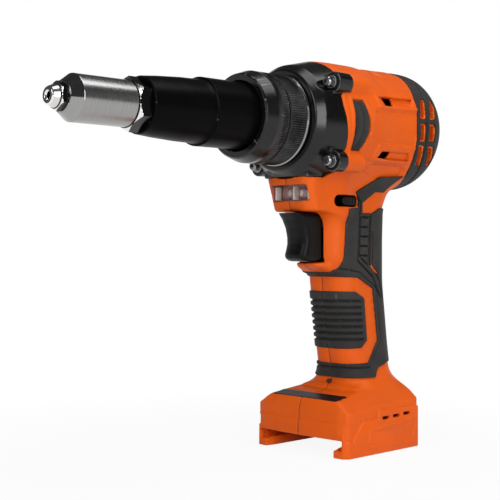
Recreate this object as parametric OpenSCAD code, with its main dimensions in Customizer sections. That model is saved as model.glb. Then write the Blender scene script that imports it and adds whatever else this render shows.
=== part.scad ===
// Cordless blind rivet tool, standing on its battery foot.
// +X points to the nose, +Y to the tool's left side, +Z up. The origin is under the middle of the tool.

/* [Barrel] */
// Height of the barrel axis over the underside of the foot
axis_h = 200; // [180:1:220]
// Length of the gearbox flange in front of the housing
flange_len = 24; // [20:0.5:30]
// Thickness of the retaining ring
ring_t = 3.5; // [2:0.5:5]
// Length of the knurled collar
knurl_len = 13.5; // [10:0.5:18]
// Length of the smooth front housing
collar_len = 17.5; // [14:0.5:24]
// Length of the wide part of the front sleeve
shoulder_len = 30.5; // [24:0.5:40]
// Length of the tapered part of the front sleeve
taper_len = 41; // [36:0.5:50]
// Length of the hexagon
hex_len = 8.3; // [6:0.1:12]
// Length of the straight part of the nose sleeve
tube_len = 34.2; // [30:0.1:45]
// Length of the conical end of the nose sleeve
cone_len = 6; // [4:0.5:9]
// Length of the nosepiece in front of the nose sleeve
tip_len = 8; // [6:0.5:12]
// Radius of the retaining ring
ring_r = 27.5; // [26:0.1:29]
// Radius of the knurled collar over its teeth
knurl_r = 26.8; // [25.5:0.1:28]
// Teeth round the knurled collar
knurl_teeth = 60; // [30:2:90]
// Radius of the front housing at its front face
collar_r = 25.3; // [24.5:0.1:27]
// Radius of the front sleeve's wide part
shoulder_r = 19.3; // [18.8:0.1:20.5]
// Radius of the front sleeve where its taper starts
taper_r = 17.8; // [16.5:0.1:18.5]
// Radius of the front sleeve at its front end
taper_end_r = 15.6; // [14.8:0.1:16.5]
// Hexagon across its flats
hex_af = 27; // [25.5:0.5:29]
// Radius of the nose sleeve
tube_r = 12.45; // [12.2:0.05:13.2]
// Radius of the nose sleeve's front end
cone_r = 8.2; // [7.8:0.1:10]
// Hexagon of the nosepiece across its flats
tip_af = 13.4; // [12:0.1:15]
// Radius of the nosepiece's tip
tip_r = 4.4; // [3.6:0.1:5]
// Radius of the mandrel bore in the nosepiece
mandrel_r = 1.9; // [1.2:0.1:2.2]
// Radius of the bore that the jaw case runs in
bore_r = 9.5; // [9:0.1:9.8]

/* [Gearbox] */
// Radius of the flange against the housing
flange_r = 37.6; // [36:0.1:38.5]
// Radius of the flange's front edge
flange_end_r = 30; // [29:0.1:32]
// Radius of the neck that carries the collars
neck_r = 23.5; // [22.5:0.1:24]
// Sideways place of the four lug screws
lug_y = 31; // [29:0.5:33]
// Height of the upper lug screws over the axis
lug_up = 21; // [18:0.5:24]
// Depth of the lower lug screws under the axis
lug_down = 25; // [20:0.5:28]
// Radius of a lug
lug_r = 6.3; // [5.5:0.1:7]
// How far a lug reaches in front of the housing
lug_front = 11; // [8:0.5:14]
// How far a lug reaches back over the housing
lug_back = 13; // [8:0.5:16]
// Radius of the lug screws
lug_screw_r = 2.5; // [2:0.1:3]
// Module of all the gears
gear_module = 0.85; // [0.8:0.01:0.88]
// Face width of the gears
gear_face = 8; // [6:0.5:9]
// Stroke of the pull rod
stroke = 20; // [15:1:22]
// Lead of the ball screw
screw_lead = 10; // [6:1:12]

/* [Motor body] */
// Radius of the body behind the gearbox
body_r = 38.3; // [37.5:0.1:39]
// Radius of the body at its waist
waist_r = 37.2; // [36.5:0.1:38]
// Length of the body behind the flange
rear_len = 97; // [94:0.5:104]
// Rounding of the rear end
dome_r = 20; // [14:0.5:24]
// Wall of the housing
wall = 2.8; // [2.2:0.1:3.4]
// Thickness of the rear bumper
bumper_t = 2.6; // [2:0.1:3]
// Radius of the bumper's front edge, seen from the side
bumper_edge_r = 44.6; // [42:0.1:48]
// How far the bumper starts behind the flange, at the side
bumper_back = 66; // [62:0.5:72]
// Thickness of the side pads, half of it sunk in the housing
pad_t = 1.6; // [1:0.1:2]
// Radius of the stator
stator_r = 26.5; // [24:0.1:27.5]
// Length of the stator
stator_len = 30; // [24:1:32]
// Radius of the rotor
rotor_r = 14; // [12:0.1:15]
// Radius of the motor shaft
shaft_r = 2.5; // [2:0.1:3]
// Radius of the fan
fan_r = 27; // [24:0.5:29]

/* [Grip] */
// Half of the grip's width
grip_w = 17; // [16:0.1:18.5]
// Front of the grip under the trigger, behind the flange
grip_front = 12; // [9:0.5:15]
// Depth of the grip under the trigger
grip_depth = 47; // [44:0.5:50]
// Depth of the grip at its foot
grip_foot_depth = 43.5; // [41:0.5:47]
// How far the grip's front leans back to its foot
grip_lean = 10; // [6:0.5:14]
// Height of the grip's upper end
grip_top = 146; // [142:1:150]
// Height of the grip under the trigger
grip_mid = 108; // [104:1:112]
// Height of the grip's lower end
grip_low = 52; // [50:1:56]
// How far the rubber stands proud of the housing
rubber_t = 0.9; // [0.5:0.1:1.4]
// Grooves in the front pad of the grip
rib_n = 8; // [8:1:9]
// Height of the neck's upper end, inside the body
neck_top = 168; // [166:1:170]
// Front of the chin under the gearbox, in front of the housing's seat
chin_front = 19; // [16:0.5:22]
// Half of the chin's width
chin_w = 17.8; // [17:0.1:19]

/* [Trigger] */
// Travel of the trigger
trigger_travel = 7; // [5:0.5:8]
// Half of the trigger's width
trigger_w = 9; // [8:0.1:10]
// Swing of the selector lever between its two ends
selector_swing = 20; // [14:1:22]
// Height of the lamp window
lens_h = 9.5; // [7:0.5:11]
// Half of the lamp window's width
lens_w = 15; // [12:0.5:16]

/* [Foot] */
// Width of the foot
foot_w = 76; // [72:1:80]
// Length of the foot
foot_len = 69; // [66:1:74]
// Front of the foot, in front of the housing's seat
foot_front = 6; // [3:0.5:9]
// Height of the foot's straight side walls
foot_side_h = 26; // [24:0.5:28]
// Height of the sloped deck that carries the display
deck_h = 33; // [31:0.5:35]
// Half width of the battery channel over its rails
channel_w = 33; // [31:0.5:34]
// Half width between the rails
rail_gap = 27; // [25:0.5:28]
// Height of the rails
rail_h = 5.5; // [4:0.5:6]
// Height of the battery channel
channel_h = 9.5; // [8:0.5:11]
// Thickness of the wall behind the battery channel
channel_stop = 6; // [4:0.5:8]

/* [Fits] */
// Clearance round a fixed piece in its seat
fit = 0.1; // [0.05:0.05:0.2]
// Clearance round a moving piece
run = 0.3; // [0.2:0.05:0.4]

/* [Hidden] */
$fn = 64;
far = 400;

// Stations along the barrel, measured forward from the seat of the gearbox on the housing
s_ring = flange_len;
s_knurl = s_ring + ring_t;
s_collar = s_knurl + knurl_len;
s_sleeve = s_collar + collar_len;
s_taper = s_sleeve + shoulder_len;
s_hex = s_taper + taper_len;
s_tube = s_hex + hex_len;
s_cone = s_tube + tube_len;
s_tip = s_cone + cone_len;
s_end = s_tip + tip_len;
seat_x = (rear_len - s_end) / 2;

// Nose: threads, jaws and pull rod
spigot_len = 8;
spigot_r = bore_r + 1.4;
socket_len = 10;
socket_r = bore_r + 2.5;
stem_r = 5.5;
stem_len = 9;
tip_hex_len = 3.6;
tip_cone_r = 6;
jaw_case_r = bore_r - run;
jaw_room = 2.5;
s_jaw = s_tip - stem_len - jaw_room;
jaw_case_len = 34;
jaw_len = 12;
jaw_angle = 10;
jaw_travel = 2.5;
jaw_spread = 112;
jaw_mouth_r = 4.8;
jaw_slack = 0.2;
jaw_hole_r = 1.2;
case_lip = 2;
pusher_len = 5;
pusher_r = 5.2;
pusher_bore_r = 2.6;
case_bore_r = 7.2;
rod_bore_r = 2.4;
rod_bore_len = 40;
rod_r = 6;
rod_end = 5;
s_case = s_jaw - jaw_case_len;
s_jaw_back = s_jaw - case_lip - jaw_len;
s_pusher = s_jaw_back - jaw_slack - pusher_len;
s_rod_front = s_case + rod_end;
s_rod = s_taper - 19;
bush_len = 10;
s_bush = s_taper + 9;

// Ball screw, nut and thrust bearing inside the front sleeve
screw_r = 6.4;
screw_groove = 0.5;
nut_len = 20;
nut_r = 13.5;
nut_bore_r = screw_r + screw_groove + run;
nut_room_r = nut_r + run;
thrust_len = 6;
s_nut = s_collar - 5;
s_thrust = s_nut + nut_len;
s_shoulder = s_thrust + thrust_len;
s_sleeve_back = s_nut - 4;
s_neck_end = s_sleeve - 4.5;

// Gears: a sun and a planet have the same teeth, and the ring has three times as many
skirt_step = 7.3;
skirt_wall = 3.3;
skirt_r = min(flange_r, body_r) - skirt_step;
ring_r_out = skirt_r - skirt_wall;
ring_rim = 4;
sun_teeth = 6 * floor((ring_r_out - ring_rim) / (9 * gear_module));
ring_teeth = 3 * sun_teeth;
pitch_r = gear_module * sun_teeth / 2;
planet_r = 2 * pitch_r;
ring_pitch_r = gear_module * ring_teeth / 2;
pressure = 20;
addendum = 0.9 * gear_module;
dedendum = 1.2 * gear_module;
backlash = 0.16;
tooth_tip_min = 0.4;
carrier_t = 3;
carrier_r = planet_r + 4.5;
pin_r = 2.4;
plate_gap = 0.6;
hub_r = 11.5;
hub_bore_r = nut_bore_r;
hub_stop = 4;
hub_spare = 2;
s_hub = s_nut - stroke - hub_stop - hub_spare;
s_second = s_hub - plate_gap - gear_face - carrier_t;
s_first_carrier = s_second - plate_gap - carrier_t;
s_first = s_first_carrier - plate_gap - gear_face;
s_ring_gear = s_first - plate_gap;
ring_gear_len = s_hub - carrier_t - plate_gap - s_ring_gear;
bearing_w = 8;
bearing_r = 16.4;
s_bearing = s_hub + 4;
s_skirt = s_ring_gear - plate_gap;

// Motor
bracket_t = 5;
s_bracket = s_skirt - bracket_t;
front_bearing_r = 7;
front_bearing_w = 4;
bearing_lip = 1;
s_stator = s_bracket - 4 - stator_len;
coil_t = 3;
coil_r = stator_r - 3;
stator_bore_r = rotor_r + 0.5;
coil_n = 6;
coil_spread = 50;
fan_len = 8;
fan_blades = 9;
s_fan = s_stator - coil_t - 3 - fan_len;
rear_bearing_w = 5;
s_rear_bearing = s_fan - 3 - rear_bearing_w;
rib_t = 4;

chin_top = axis_h - 34;
// Grip, neck and chin: each section is its height, front, rear, half width and front and rear rounding
step_h = 0.8;
chin_lean = 5;
chin_low = chin_front - chin_lean;
neck_back = 60;
web_back = 76;
trigger_back = 4;
foot_back = foot_len - foot_front;
foot_corner = 5;
deck_w = foot_w / 2 - 7;
deck_front = foot_front - 2.5;
upper_h = deck_h + 3.5;
upper_front = deck_front - 13;
upper_w = deck_w - 4;
floor_h = channel_h + wall;
foot_end = grip_front + grip_lean;
grip_back = grip_front + grip_depth;
foot_sections = [
    [foot_side_h, -foot_front, foot_back, foot_w / 2, foot_corner, foot_corner],
    [deck_h, -deck_front, foot_back, deck_w, foot_corner, foot_corner],
    [upper_h, -upper_front, foot_back, upper_w, foot_corner, foot_corner]];
grip_sections = [
    [grip_low - 8, foot_end + 2, foot_end + grip_foot_depth + 1, grip_w + 3.4, 12, 14],
    [grip_low, foot_end, foot_end + grip_foot_depth, grip_w + 0.8, 13, 14],
    [grip_low + 12, foot_end - 2.4, foot_end + grip_foot_depth - 1.6, grip_w, 13, 14],
    [grip_mid - 13, grip_front + 2.4, grip_back + 1.2, grip_w, 13, 14],
    [grip_mid, grip_front, grip_back, grip_w, 13, 14],
    [grip_mid + 9, trigger_back, grip_back - 0.5, grip_w + 0.4, 11, 14],
    [grip_mid + 22, trigger_back, grip_back - 0.8, grip_w + 0.7, 9, 14],
    [grip_top - step_h, trigger_back, neck_back - 0.6, chin_w - 0.1, 7, 15]];
neck_sections = [
    [grip_top, -chin_low, neck_back, chin_w, 5, 15],
    [grip_top + 12, 2 - chin_front, neck_back + 5, chin_w + 0.5, 5, 15],
    [neck_top, -chin_front, web_back, chin_w + 2, 5, 15]];
lip_h = 5;
rib_pitch = 4;
rib_gap = 1.2;
lip_front = 6;
lip_w = 9;
lip_r = 3;

// Trigger, switch and selector
trigger_low = grip_mid + 7.5;
trigger_high = grip_top - 0.8;
trigger_mid = (trigger_low + trigger_high) / 2;
pocket_w = trigger_w + 0.6;
pocket_back = trigger_back + trigger_travel + 1;
stem_w = 4;
stem_h = 8;
stem_back = 12;
switch_front = pocket_back + 3;
switch_len = 34;
switch_w = 10;
switch_rib = 8;
switch_low = grip_mid + 9;
switch_high = grip_top - 0.5;
spring_z = trigger_high - 6;
trigger_spring_r = 2.6;
wire_r = 0.4;
spring_turns = 5;
selector_x = 15;
selector_z = grip_top + 6.7;
selector_h = 5.6;
selector_tab = 12;
selector_proud = 1.2;
selector_pin_r = 2;
slot_len = 22;
slot_h = selector_h + 2;

// Lamp window in the chin's front
lens_z = grip_top + 11;
board_t = 1.2;
lens_flange = 1;
lens_back = 7;
lens_ledge = 3;
lens_frame = 3;
lamp_r = 2;
lamp_y = 5;

// Foot
panel_front = deck_front - 1.2;
panel_len = 10.5;
panel_w = 26;
panel_t = 1;
board_z = floor_h + 4.5;
board_front = 14;
board_len = 46;
board_w = 50;
block_len = 20;
block_w = 36;
block_drop = 3;
blade_n = 4;
blade_pitch = 8;
blade_t = 1;
blade_len = 10;
blade_h = 3;
block_flange = 2;

flange_bevel = 3.4;
flange_bevel_len = 5;
washer_r = 5.2;
washer_t = 1.2;
cap_r = 4.2;
cap_h = 4.2;
lug_grip = 11;
lug_web = 6;
shoulder_back = 12;
jaw_spring_r = 5.8;
fan_hub_r = 6;
pad_front = 5;
pad_back = 20;
pad_tail = 11;
pad_half = 14.5;
pad_drop = -3;
pad_edge_r = 23.5;
pad_turn = 38;
channel_back = foot_back - channel_stop;
block_back = channel_back - 4;
panel_sunk = 0.6;
deck_slope = atan((upper_h - deck_h) / (deck_front - upper_front));

foot_screw_in = 7;

// Screws that close the housing: place behind the seat, height and depth of the head under the axis plane
screw_spots = [
    [30, axis_h + 32, 14], [54, axis_h + 32, 14],
    [53, grip_top - 4, 11], [34, grip_mid - 2, 12], [47, grip_low + 10, 12],
    [10, grip_top + 17.5, 13], [10, foot_side_h - 2, foot_w / 2 - foot_screw_in],
    [57, foot_side_h - 2, foot_w / 2 - foot_screw_in]];
screw_bite = 8;
house_screw_r = 1.6;
house_head_r = 3;
house_head_h = 2.4;
boss_r = 3.8;

// A point on the involute's flank: half of the tooth's angle at radius r
function inv(a) = tan(a) * 180 / PI - a;
function half_tooth(z, r, rp, thin) =
    90 / z - thin / 2 / rp * 180 / PI + inv(pressure) - inv(acos(min(1, rp * cos(pressure) / r)));
function gear_outline(z, root, tip, thin) =
    let (rp = gear_module * z / 2, base = rp * cos(pressure))
    let (low = max(root, base), flanks = [[root, low, -1], [tip, tip, -1], [tip, tip, 1], [root, low, 1]])
    [for (i = [0:z - 1], c = flanks)
        let (a = 360 * i / z + c[2] * max(tooth_tip_min, half_tooth(z, c[1], rp, thin)))
        c[0] * [cos(a), sin(a)]];
function arc(cx, cy, r, a0, a1, n) =
    [for (i = [0:n]) let (a = a0 + (a1 - a0) * i / n) [cx + r * cos(a), cy + r * sin(a)]];
// The body's profile from the seat to the rear end, drawn in by inset and by more under the bumper
function body_profile(inset, rear) = concat(
    [[0, inset > 0 ? 1 : 0], [body_r - inset, inset > 0 ? 1 : 0], [body_r - inset, -29],
        [waist_r - inset, -38], [waist_r - inset, -52], [body_r - rear, -66]],
    arc(body_r - dome_r - 0.6, dome_r - rear_len, dome_r - rear, 0, -90, 8),
    [[0, rear - rear_len]]);
// One ring of six points on a round wire that winds turns of radius r over a length
function coil_ring(r, len, turns, i, steps) =
    let (a = 360 * turns * i / steps, z = wire_r + (len - 2 * wire_r) * i / steps)
    [for (b = [0:60:300]) let (q = r + wire_r * cos(b)) [q * cos(a), q * sin(a), z + wire_r * sin(b)]];

module along(s = 0) {
    translate([seat_x + s, 0, axis_h]) rotate([0, 90, 0]) children();
}

module turned(points) {
    along() rotate_extrude() polygon(points);
}

// A ring along the barrel from station s, with its outer and inner radius
module ring(s, len, r_out, r_in) {
    along(s) difference() {
        cylinder(r = r_out, h = len);
        translate([0, 0, -1]) cylinder(r = r_in, h = len + 2);
    }
}

module hexagon(af, len) {
    cylinder(r = af / sqrt(3), h = len, $fn = 6);
}

module coil(r, len, turns) {
    steps = 8 * turns;
    points = [for (i = [0:steps]) each coil_ring(r, len, turns, i, steps)];
    sides = [for (i = [0:steps - 1], k = [0:5]) let (a = 6 * i + k, b = 6 * i + (k + 1) % 6)
        each [[a, b, a + 6], [b, b + 6, a + 6]]];
    first = [for (k = [1:4]) [0, k + 1, k]];
    last = [for (k = [1:4]) [6 * steps, 6 * steps + k, 6 * steps + k + 1]];
    polyhedron(points, concat(sides, first, last));
}

module gear(teeth, len) {
    rp = gear_module * teeth / 2;
    linear_extrude(height = len) polygon(gear_outline(teeth, rp - dedendum, rp + addendum, backlash));
}

module at_planet(k) {
    rotate([0, 0, 120 * k]) translate([planet_r, 0, 0]) children();
}

// Closed outline of one section of the housing, drawn in all round
function corner(x, y, r, a0) = [for (a = [0:15:90]) [x + r * cos(a0 + a), y + r * sin(a0 + a)]];
function outline(c, inset) =
    let (front = seat_x - c[1] - inset, back = seat_x - c[2] + inset, w = c[3] - inset)
    let (rf = c[4] - inset, rb = c[5] - inset)
    concat(corner(front - rf, w - rf, rf, 0), corner(back + rb, w - rb, rb, 90),
        corner(back + rb, rb - w, rb, 180), corner(front - rf, rf - w, rf, 270));

// A solid through a list of sections, each at its own height
module loft(sections, inset) {
    n = len(outline(sections[0], inset));
    m = len(sections);
    points = [for (c = sections) each [for (p = outline(c, inset)) [p[0], p[1], c[0]]]];
    sides = [for (i = [0:m - 2], k = [0:n - 1]) let (a = n * i + k, b = n * i + (k + 1) % n)
        each [[a, a + n, b], [b, a + n, b + n]]];
    polyhedron(points, concat(sides, [[for (k = [0:n - 1]) k]], [[for (k = [n - 1:-1:0]) n * (m - 1) + k]]));
}

function raised(c, dz) = [for (i = [0:len(c) - 1]) i == 0 ? c[0] + dz : c[i]];

module body_form(inset, rear) {
    turned(body_profile(inset, rear));
}

module lip_form() {
    rear = [-grip_front - 8, grip_w - 2];
    hull() for (c = [[lip_front, lip_w, 0], [rear[0], rear[1], 0], [rear[0], rear[1], -4]], side = [-1, 1])
        translate([seat_x + c[0] - lip_r, side * (c[1] - lip_r), trigger_low - 0.5 - lip_h + c[2]])
            cylinder(r = lip_r, h = lip_h, $fn = 24);
}

// Round shoulders of the housing behind the gearbox lugs, which take the lug screws
module lug_shoulders() {
    lug_places() hull() {
        translate([0, 0, -lug_back - shoulder_back])
            cylinder(r = lug_r, h = lug_back + shoulder_back - 1, $fn = 24);
        translate([0, 0, -lug_back - 2 * shoulder_back]) cylinder(r = lug_r - 3, h = 1, $fn = 24);
    }
}

// Foot, grip and neck in one: the hollow starts over the battery channel and has a floor in the chin
module housing_form(inset) {
    low = raised(foot_sections[0], (inset > 0 ? floor_h : 0) - foot_side_h);
    foot = [for (c = foot_sections) raised(c, -inset)];
    neck = [for (i = [0:2]) raised(neck_sections[i], i == 0 ? inset : 0)];
    grip = [for (i = [0:7]) raised(grip_sections[i], i == 7 ? inset : 0)];
    loft(concat([low], foot, grip, neck), inset);
}

// What the bumper covers: all behind a round front edge, seen from the side
module bumper_skin(proud, extra) {
    intersection() {
        difference() {
            body_form(-proud, -proud);
            body_form(bumper_t + extra, bumper_t + extra);
        }
        translate([seat_x - bumper_back - bumper_edge_r, 0, axis_h])
            rotate([90, 180 / $fn, 0]) cylinder(r = bumper_edge_r + extra, h = far, center = true);
    }
}

// The crescent of a side pad between two radii: its front edge is round, its rear edge comes to a point
module pad_skin(side, r_in, r_out, extra) {
    intersection() {
        ring(-pad_back - 4, pad_back, r_out, r_in);
        translate([seat_x, side > 0 ? far : 0, axis_h + pad_drop]) rotate([90, 0, 0])
            linear_extrude(height = far) polygon(concat(
                arc(pad_edge_r - pad_front + extra, 0, pad_edge_r, 180 - pad_turn, 180 + pad_turn, 8),
                [[-pad_tail - extra, -pad_half - extra], [-pad_back - extra, 0],
                    [-pad_tail - extra, pad_half + extra]]));
    }
}

module lug_places() {
    for (side = [-1, 1], dz = [lug_up, -lug_down])
        translate([seat_x, side * lug_y, axis_h + dz]) rotate([0, 90, 0]) children();
}

module screw_places() {
    for (c = screw_spots) translate([seat_x - c[0], 0, c[1]]) rotate([90, 0, 0]) {
        $depth = c[2];
        children();
    }
}

// Ribs, seats and bosses in the hollow of the housing, for what it holds
module inner_seats() {
    ring(-rib_t - 2, rib_t, body_r - 1, skirt_r + fit);
    for (s = [s_stator + 3, s_stator + stator_len - 3 - rib_t]) ring(s, rib_t, body_r - 1, stator_r + fit);
    ring(s_rear_bearing, rear_bearing_w, body_r - 1, front_bearing_r + fit);
    lug_shoulders();
    for (x = [switch_rib, switch_len - switch_rib], side = [-1, 1])
        translate([seat_x - switch_front - x - rib_t / 2, side * (switch_w + fit + grip_w / 2) - grip_w / 2,
            switch_low - rib_t])
                cube([rib_t, grip_w, switch_high - switch_low]);
    translate([seat_x - switch_front - switch_len + switch_rib, -grip_w, switch_low - fit - rib_t])
        cube([switch_len - 2 * switch_rib, 2 * grip_w, rib_t]);
    for (x = [board_front + 1, board_front + board_len - rib_t])
        translate([seat_x - x - rib_t, -board_w / 2, floor_h - 1])
            cube([rib_t, board_w, board_z - floor_h + 1 - fit]);
    translate([seat_x + lens_back + 1, -chin_w, lens_z - lens_h / 2 - lens_frame])
        cube([chin_front, 2 * chin_w, lens_h + 2 * lens_frame]);
    screw_places() cylinder(r = boss_r, h = far, center = true, $fn = 24);
}

module housing_hollow() {
    difference() {
        union() {
            housing_form(wall);
            body_form(wall, wall + bumper_t);
        }
        inner_seats();
    }
}

module trigger_pocket() {
    translate([seat_x - pocket_back, -pocket_w, trigger_low - run])
        cube([pocket_back + chin_front, 2 * pocket_w, trigger_high - trigger_low + 2 * run]);
}

module selector_slot() {
    round_x = (slot_len - slot_h) / 2;
    translate([seat_x - selector_x, 0, selector_z]) {
        for (x = [-round_x, round_x]) translate([x, 0, 0]) rotate([90, 0, 0])
            cylinder(d = slot_h, h = 2 * chin_w + 10, center = true, $fn = 24);
        cube([2 * round_x, 2 * chin_w + 10, slot_h], center = true);
        cube([slot_len, 2 * (chin_w - wall), slot_h], center = true);
    }
}

module lens_window() {
    translate([seat_x + lens_back, -lens_w, lens_z - lens_h / 2]) cube([far, 2 * lens_w, lens_h]);
    translate([seat_x + lens_back - 1, -lens_w - lens_flange, lens_z - lens_h / 2 - lens_flange])
        cube([lens_ledge + 1, 2 * (lens_w + lens_flange), lens_h + 2 * lens_flange]);
}

// The channel that the battery slides into from the front, over its two rails
module battery_channel() {
    translate([seat_x - channel_back, -channel_w, rail_h]) cube([far, 2 * channel_w, channel_h - rail_h]);
    translate([seat_x - channel_back, -rail_gap, -1]) cube([far, 2 * rail_gap, rail_h + 2]);
    translate([seat_x - block_back - fit, -block_w / 2 - fit, channel_h - 1])
        cube([block_len + 2 * fit, block_w + 2 * fit, wall + 2]);
}

module panel_plate(extra) {
    translate([seat_x + panel_front, 0, deck_h + (deck_front - panel_front) * tan(deck_slope)])
        rotate([0, deck_slope, 0]) translate([-panel_len - extra, -panel_w - extra, -panel_sunk - extra])
            cube([panel_len + 2 * extra, 2 * (panel_w + extra), panel_t + extra]);
}

module housing_half(side) {
    difference() {
        union() {
            housing_form(0);
            body_form(0, 0);
            lug_shoulders();
            lip_form();
        }
        housing_hollow();
        translate([seat_x, -far, chin_top]) cube([far, 2 * far, far]);
        translate([-far, side > 0 ? -2 * far : 0, -far]) cube([2 * far, 2 * far, 3 * far]);
        bumper_skin(1, fit);
        pad_skin(side, body_r - pad_t / 2 - fit, body_r + 4, fit);
        lug_places() {
            translate([0, 0, -lug_back - fit]) cylinder(r = lug_r + fit, h = far, $fn = 32);
            translate([0, 0, -lug_back - lug_grip]) cylinder(r = lug_screw_r + fit, h = far, $fn = 20);
        }
        trigger_pocket();
        selector_slot();
        lens_window();
        battery_channel();
        panel_plate(fit);
        screw_places() {
            translate([0, 0, -screw_bite - 1]) cylinder(r = house_screw_r + fit, h = far, $fn = 16);
            translate([0, 0, $depth - house_head_h - fit])
                cylinder(r = house_head_r + fit, h = far, $fn = 20);
        }
    }
}

module left_housing() {
    color("darkorange") housing_half(1);
}

module right_housing() {
    color("darkorange") housing_half(-1);
}

// Where the rubber lies on the grip, seen from the side: x is measured behind the grip's front
module rubber_zone(side) {
    translate([seat_x - grip_front, side > 0 ? far : 0, 0]) rotate([90, 0, 0])
        linear_extrude(height = far) mirror([1, 0]) {
            polygon([[4, grip_mid + 6], [3, grip_top - 2], [8, grip_top], [far, grip_top + 4],
                [far, grip_mid - 4], [24, grip_mid - 3], [12, grip_mid], [-grip_front, grip_mid]]);
            polygon([[34, grip_mid], [42, grip_mid - 10], [46, grip_low + 14], [38, grip_low],
                [-grip_front, grip_low], [-grip_front, grip_low - 8], [far, grip_low - 8], [far, grip_mid]]);
            polygon([[-grip_front, grip_mid - 11], [20, grip_mid - 11], [28, grip_mid - 16],
                [31, grip_low + 15], [26, grip_low + 10], [-grip_front, grip_low + 10]]);
        }
}

module grip_skin(side) {
    difference() {
        intersection() {
            loft(grip_sections, -rubber_t);
            rubber_zone(side);
        }
        housing_form(0);
        lip_form();
        translate([seat_x - grip_front, -far, grip_mid + 1]) cube([far, 2 * far, far]);
        for (i = [0:rib_n - 1]) hull() for (x = [grip_front + 5, grip_front + 27])
            translate([seat_x - x, side * grip_w, grip_mid - 16 - i * rib_pitch]) rotate([90, 0, 0])
                cylinder(d = rib_gap, h = far, center = true, $fn = 8);
    }
}

module left_grip() {
    color("dimgray") grip_skin(1);
}

module right_grip() {
    color("dimgray") grip_skin(-1);
}

module left_side_pad() {
    color("dimgray") pad_skin(1, body_r - pad_t / 2, body_r + pad_t / 2, 0);
}

module right_side_pad() {
    color("dimgray") pad_skin(-1, body_r - pad_t / 2, body_r + pad_t / 2, 0);
}

module rear_bumper() {
    color("dimgray") bumper_skin(0, 0);
}

module housing_screws() {
    color("silver") screw_places() {
        translate([0, 0, -screw_bite]) cylinder(r = house_screw_r, h = $depth - house_head_h + screw_bite);
        translate([0, 0, $depth - house_head_h]) difference() {
            cylinder(r = house_head_r, h = house_head_h);
            translate([0, 0, house_head_h / 2]) cylinder(r = house_head_r / 2, h = house_head_h, $fn = 6);
        }
    }
}

module gearbox_housing() {
    color("black") difference() {
        union() {
            turned([[0, s_skirt], [skirt_r, s_skirt], [skirt_r, 0], [flange_r, 0],
                [flange_end_r + flange_bevel, flange_len - flange_bevel_len], [flange_end_r, flange_len], [neck_r, flange_len],
                [neck_r, s_neck_end], [0, s_neck_end]]);
            lug_places() translate([0, 0, -lug_back]) cylinder(r = lug_r, h = lug_back + lug_front);
            for (side = [-1, 1], dz = [lug_up, -lug_down]) along() rotate(atan2(side * lug_y, -dz))
                translate([0, -lug_web / 2, 0]) cube([norm([lug_y, dz]), lug_web, lug_front]);
        }
        translate([seat_x - far / 2, -far / 2, chin_top + fit - far]) cube(far);
        along(s_skirt - 1) cylinder(r = ring_r_out + fit, h = s_hub + plate_gap - s_skirt + 1);
        along(s_skirt) cylinder(r = bearing_r + fit, h = s_bearing + bearing_w - s_skirt);
        along(s_skirt) cylinder(r = hub_r + 1, h = far);
        along(s_sleeve_back) cylinder(r = shoulder_r + fit, h = far);
        lug_places() translate([0, 0, -far / 2]) cylinder(r = lug_screw_r + fit, h = far);
        lug_places() translate([0, 0, lug_front]) cylinder(r = lug_r + 0.4, h = far);
    }
}

module gearbox_screws() {
    color("silver") lug_places() {
        translate([0, 0, -lug_back - lug_grip + 1])
            cylinder(r = lug_screw_r, h = lug_back + lug_grip - 1 + lug_front + washer_t);
        translate([0, 0, lug_front + washer_t]) difference() {
            cylinder(r = cap_r, h = cap_h);
            translate([0, 0, cap_h / 2]) cylinder(r = cap_r / 2, h = cap_h, $fn = 6);
        }
    }
}

module gearbox_washers() {
    color("gray") lug_places() translate([0, 0, lug_front]) difference() {
        cylinder(r = washer_r, h = washer_t);
        translate([0, 0, -1]) cylinder(r = lug_screw_r + fit, h = washer_t + 2);
    }
}

module retaining_ring() {
    color("silver") turned([[neck_r + fit, s_ring], [ring_r, s_ring], [ring_r, s_knurl - 1],
        [ring_r - 1, s_knurl], [neck_r + fit, s_knurl]]);
}

module knurled_collar() {
    depth = 0.6;
    step = 360 / knurl_teeth;
    color("black") along(s_knurl) difference() {
        linear_extrude(height = knurl_len)
            polygon([for (i = [0:knurl_teeth - 1], c = [[0, 0], [0.45, 0], [0.55, depth], [0.9, depth]])
                (knurl_r - c[1]) * [cos(step * (i + c[0])), sin(step * (i + c[0]))]]);
        translate([0, 0, -1]) cylinder(r = neck_r + fit, h = knurl_len + 2);
    }
}

module front_housing() {
    color("black") turned([[neck_r + fit, s_collar], [knurl_r, s_collar], [collar_r + 0.6, s_sleeve - 3],
        [collar_r, s_sleeve - 1.4], [collar_r - 1.4, s_sleeve], [shoulder_r + fit, s_sleeve],
        [shoulder_r + fit, s_neck_end + fit], [neck_r + fit, s_neck_end + fit]]);
}

module front_sleeve() {
    color("black") turned([[nut_room_r, s_sleeve_back], [shoulder_r, s_sleeve_back], [shoulder_r, s_taper],
        [taper_r, s_taper + 3], [taper_r - 0.3, s_taper + 15], [taper_end_r + 0.9, s_hex - 10],
        [taper_end_r, s_hex], [socket_r + fit, s_hex], [socket_r + fit, s_hex - socket_len],
        [bore_r, s_hex - socket_len], [bore_r, s_shoulder], [nut_room_r, s_shoulder]]);
}

module hex_locknut() {
    corner_r = hex_af / sqrt(3);
    color("silver") difference() {
        union() {
            intersection() {
                along(s_hex) hexagon(hex_af, hex_len);
                turned([[0, s_hex], [corner_r + 1, s_hex], [corner_r + 1, s_tube - 2],
                    [corner_r - 2, s_tube], [0, s_tube]]);
            }
            along(s_hex - socket_len) cylinder(r = socket_r, h = socket_len + 1);
            along(s_tube - 1) cylinder(r = spigot_r - fit, h = spigot_len + 1 - fit);
        }
        along(s_hex - socket_len - 1) cylinder(r = bore_r, h = far);
    }
}

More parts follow.
